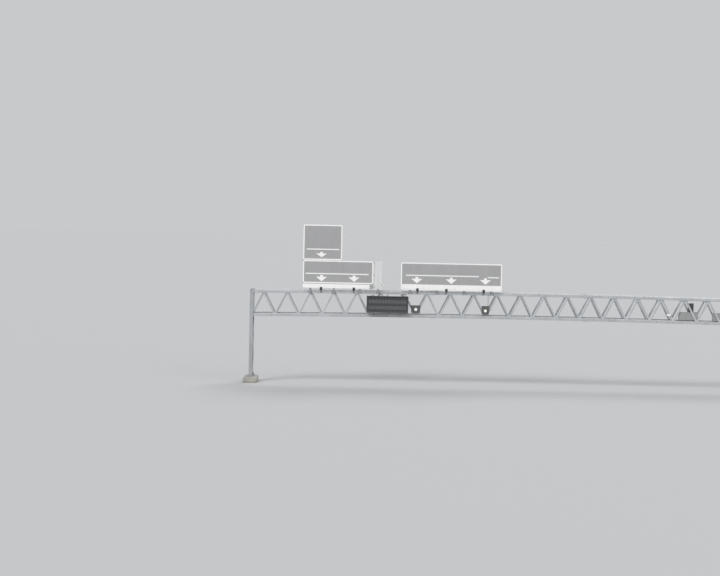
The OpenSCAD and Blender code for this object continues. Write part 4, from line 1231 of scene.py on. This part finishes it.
# %% Front frame and lifting lugs
CASE_FRONT, CASE_TOP = SCREEN_Y - 0.022, case_zs[1]
FRAME_IN, FRAME_WIDE, FRAME_THICK = 0.012, 0.038, 0.006
frame_ys = (CASE_FRONT - FRAME_THICK, CASE_FRONT)
fittings.append(rounded_ring(
    inset(case_xs, FRAME_IN), inset(case_zs, FRAME_IN), FRAME_WIDE, 0.012, 0.012, frame_ys, 2))
x0, x1 = inset(case_xs, 0.03)
places = [((x0 + i * (x1 - x0) / 8, frame_ys[0], z), -Y_WAY)
          for i, z in product(range(9), inset(case_zs, 0.031))]
fittings += [prism([(x - 0.03, CASE_TOP), (x + 0.03, CASE_TOP), (x + 0.012, CASE_TOP + 0.05),
                    (x - 0.012, CASE_TOP + 0.05)], "y", *about(CASE_BACK - 0.12, 0.005))
             for x in inset(case_xs, 0.27)]
piece("message_fittings", [
    shaped(fittings, black_coat, 0.0012), sections(vents, 0.01, 0.012, 0.003, black_coat, 1),
    bolts(places, 0.004, black_coat)])

# %% [markdown]
# ## Signal boxes
# Two small boxes on the lattice each show one round lit lens under a visor. The lens is pressed
# with rings that gather the light. A smooth dome would shine in one spot, so the profile that is
# turned about the lens's middle is a saw-tooth. The box's front has a rim, hinges and bolts.

# %% Lenses
LENSES = solids("signal_lenses")
LENS_R = (LENSES[0][1].x - LENSES[0][0].x) / 2
BOX_FRONT = LENSES[0][1].y
TEETH, TOOTH_WIDE, TOOTH_DEEP = 6, 0.0118, 0.0016
profile = [(LENS_R, 0.0), (LENS_R, 0.009)]
for i in range(TEETH):
    r, rear = LENS_R - 0.004 - i * TOOTH_WIDE, i * TOOTH_DEEP
    profile += [(r, rear + 0.010), (r - 0.0012, rear + 0.007)]
profile.append((0.004, 0.0175))
glasses = [spun(profile, (middle(lens).x, BOX_FRONT, middle(lens).z)) for lens in LENSES]
piece("signal_glasses", [shaped(glasses, lens_glow)], ["signal_lenses"])

# %% Rims and hinges of the boxes
RIM, RIM_THICK = 0.014, 0.006
rim_ys = (BOX_FRONT - RIM_THICK, BOX_FRONT)
trims, places = [], []
for box, lens in zip(solids("signal_boxes"), LENSES):
    mid, (xs, _, zs) = middle(lens), zip(*box)
    trims += [rounded_ring(xs, zs, RIM, 0.012, 0.006, rim_ys, 2),
              ring(circle(mid.x, mid.z, LENS_R + 0.007), circle(mid.x, mid.z, LENS_R), rim_ys)]
    for z in inset(zs, 0.06):
        trims.append(slab((xs[0] - 0.008, xs[0]), (BOX_FRONT, BOX_FRONT + 0.04), about(z, 0.025)))
        places += [((x, BOX_FRONT, z), -Y_WAY) for x in inset(xs, 0.035)]
piece("signal_trims", [shaped(trims, box_coat, 0.001), bolts(places, 0.006)])

# %% [markdown]
# ## Equipment cabinets
# The cabinets behind the lattice hold the signs' switchgear. They are opened from the walkway, so
# the doors, hinges, handles and louvres are on that side. The side that faces -Y is plain sheet
# with pressed ribs that keep it stiff, and a drip edge runs round each roof. All of it is thin, so
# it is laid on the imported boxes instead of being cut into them.

# %% Cabinet doors, ribs and louvres
DOOR, RIB, LOUVRES, GRIP_ZS = 0.005, 0.004, (0.016, 7), (0.17, 0.26)
parts, slats = [], []
for xs, (front, back), zs in [zip(*box) for box in solids("cabinets")]:
    mid = sum(xs) / 2
    parts.append(slab(inset(xs, -0.008), (front - 0.008, back + 0.012), (zs[1], zs[1] + 0.008)))
    for a, b in ((xs[0] + 0.015, mid - 0.004), (mid + 0.004, xs[1] - 0.015)):
        parts.append(slab((a, b), (back, back + DOOR), (zs[0] + 0.015, zs[1] - 0.01)))
        parts += [slab(about(a + (b - a) * (i + 0.5) / 3, 0.05), (front - RIB, front),
                       inset(zs, 0.04)) for i in range(3)]
        slats += stacked([(x, back + 0.007, zs[0] + 0.07) for x in about((a + b) / 2, 0.13)],
                         *LOUVRES)
    parts += [slab(about(x, 0.006), (back, back + 0.012), about(z, 0.025))
              for x, z in product(inset(xs, 0.012), inset(zs, 0.07))]
    parts += [slab(about(x, 0.008), (back + DOOR, back + 0.02), [zs[0] + up for up in GRIP_ZS])
              for x in about(mid, 0.035)]
piece("cabinet_fittings", [
    shaped(parts, cabinet_coat, 0.0015), sections(slats, 0.008, 0.009, 0.002, cabinet_coat, 1)])

# %% Dark unit's cap and louvres
xs, ys, (z0, z1) = zip(*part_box("cabinet_unit"))
SLAT_STEP = 0.022
slats = []
for y in inset(ys, -0.003):
    slats += stacked([(x, y, z0 + 0.04) for x in inset(xs, 0.025)], SLAT_STEP,
                     math.ceil((z1 - z0 - 0.09) / SLAT_STEP))
cap = [slab(inset(xs, -0.008), inset(ys, -0.01), (z1 - 0.01, z1)),
       slab(inset(xs, -0.004), inset(ys, -0.004), (z0, z0 + 0.014))]
piece("unit_fittings", [
    shaped(cap, unit_coat, 0.002), sections(slats, 0.008, 0.011, 0.003, unit_coat, 1)])

# %% [markdown]
# ## Lamp bar and small round lamp
# The lamp bar is a clear ribbed cover between two dark end caps. The small round lamp has cooling
# rings round its body and a domed glass. Ribs and rings could be drawn by a bump, but they show
# on the outline, so the ribs are prisms in a row and the rings are steps of a turned profile.

# %% Lamp bar
xs, (front, back), zs = zip(*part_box("lamp_bar"))
END_CAP, COVER_RIBS = 0.03, 24
step = (xs[1] - xs[0] - 2 * END_CAP) / COVER_RIBS
(z0, z1), (low, high) = inset(zs, 0.006), about(sum(zs) / 2, 0.02)
rib = [(front + 0.006, z0), (back, z0), (back, z1), (front + 0.006, z1), (front, high),
       (front, low)]
cover = [slab(inset(xs, 0.02), (front + 0.01, back), inset(zs, 0.012))]
cover += [prism(rib, "x", *about(xs[0] + END_CAP + (i + 0.5) * step, 0.44 * step))
          for i in range(COVER_RIBS)]
caps = [slab(ends, (front, back), zs)
        for ends in ((xs[0], xs[0] + END_CAP), (xs[1] - END_CAP, xs[1]))]
piece("lamp_bar_cover", [shaped(cover, bar_glow, 0.001), shaped(caps, dark_coat, 0.003)],
      ["lamp_bar"])

# %% Small round lamp
low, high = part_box("spot_lamp")
spot = (middle((low, high)).x, high.y, middle((low, high)).z)
SPOT_R, COOLING_RINGS, RING_STEP = (high.x - low.x) / 2, 5, 0.009
body = [(0.02, 0.0), (0.03, 0.008)]
for i in range(COOLING_RINGS):
    body += [(SPOT_R - back, reach + i * RING_STEP) for back, reach in (
        (0.012, 0.01), (0.001, 0.011), (0.001, 0.015), (0.012, 0.016))]
body += [(SPOT_R, 0.056), (SPOT_R, 0.07), (SPOT_R - 0.008, 0.07)]
glass = [(SPOT_R - 0.01, 0.07), (SPOT_R - 0.012, 0.073), (SPOT_R - 0.03, 0.0755), (0.008, 0.076)]
piece("spot_body", [shaped([spun(body, spot)], dark_coat)], ["spot_lamp"])
piece("spot_cover", [shaped([spun(glass, spot)], lamp_glow)], ["spot_glass"])
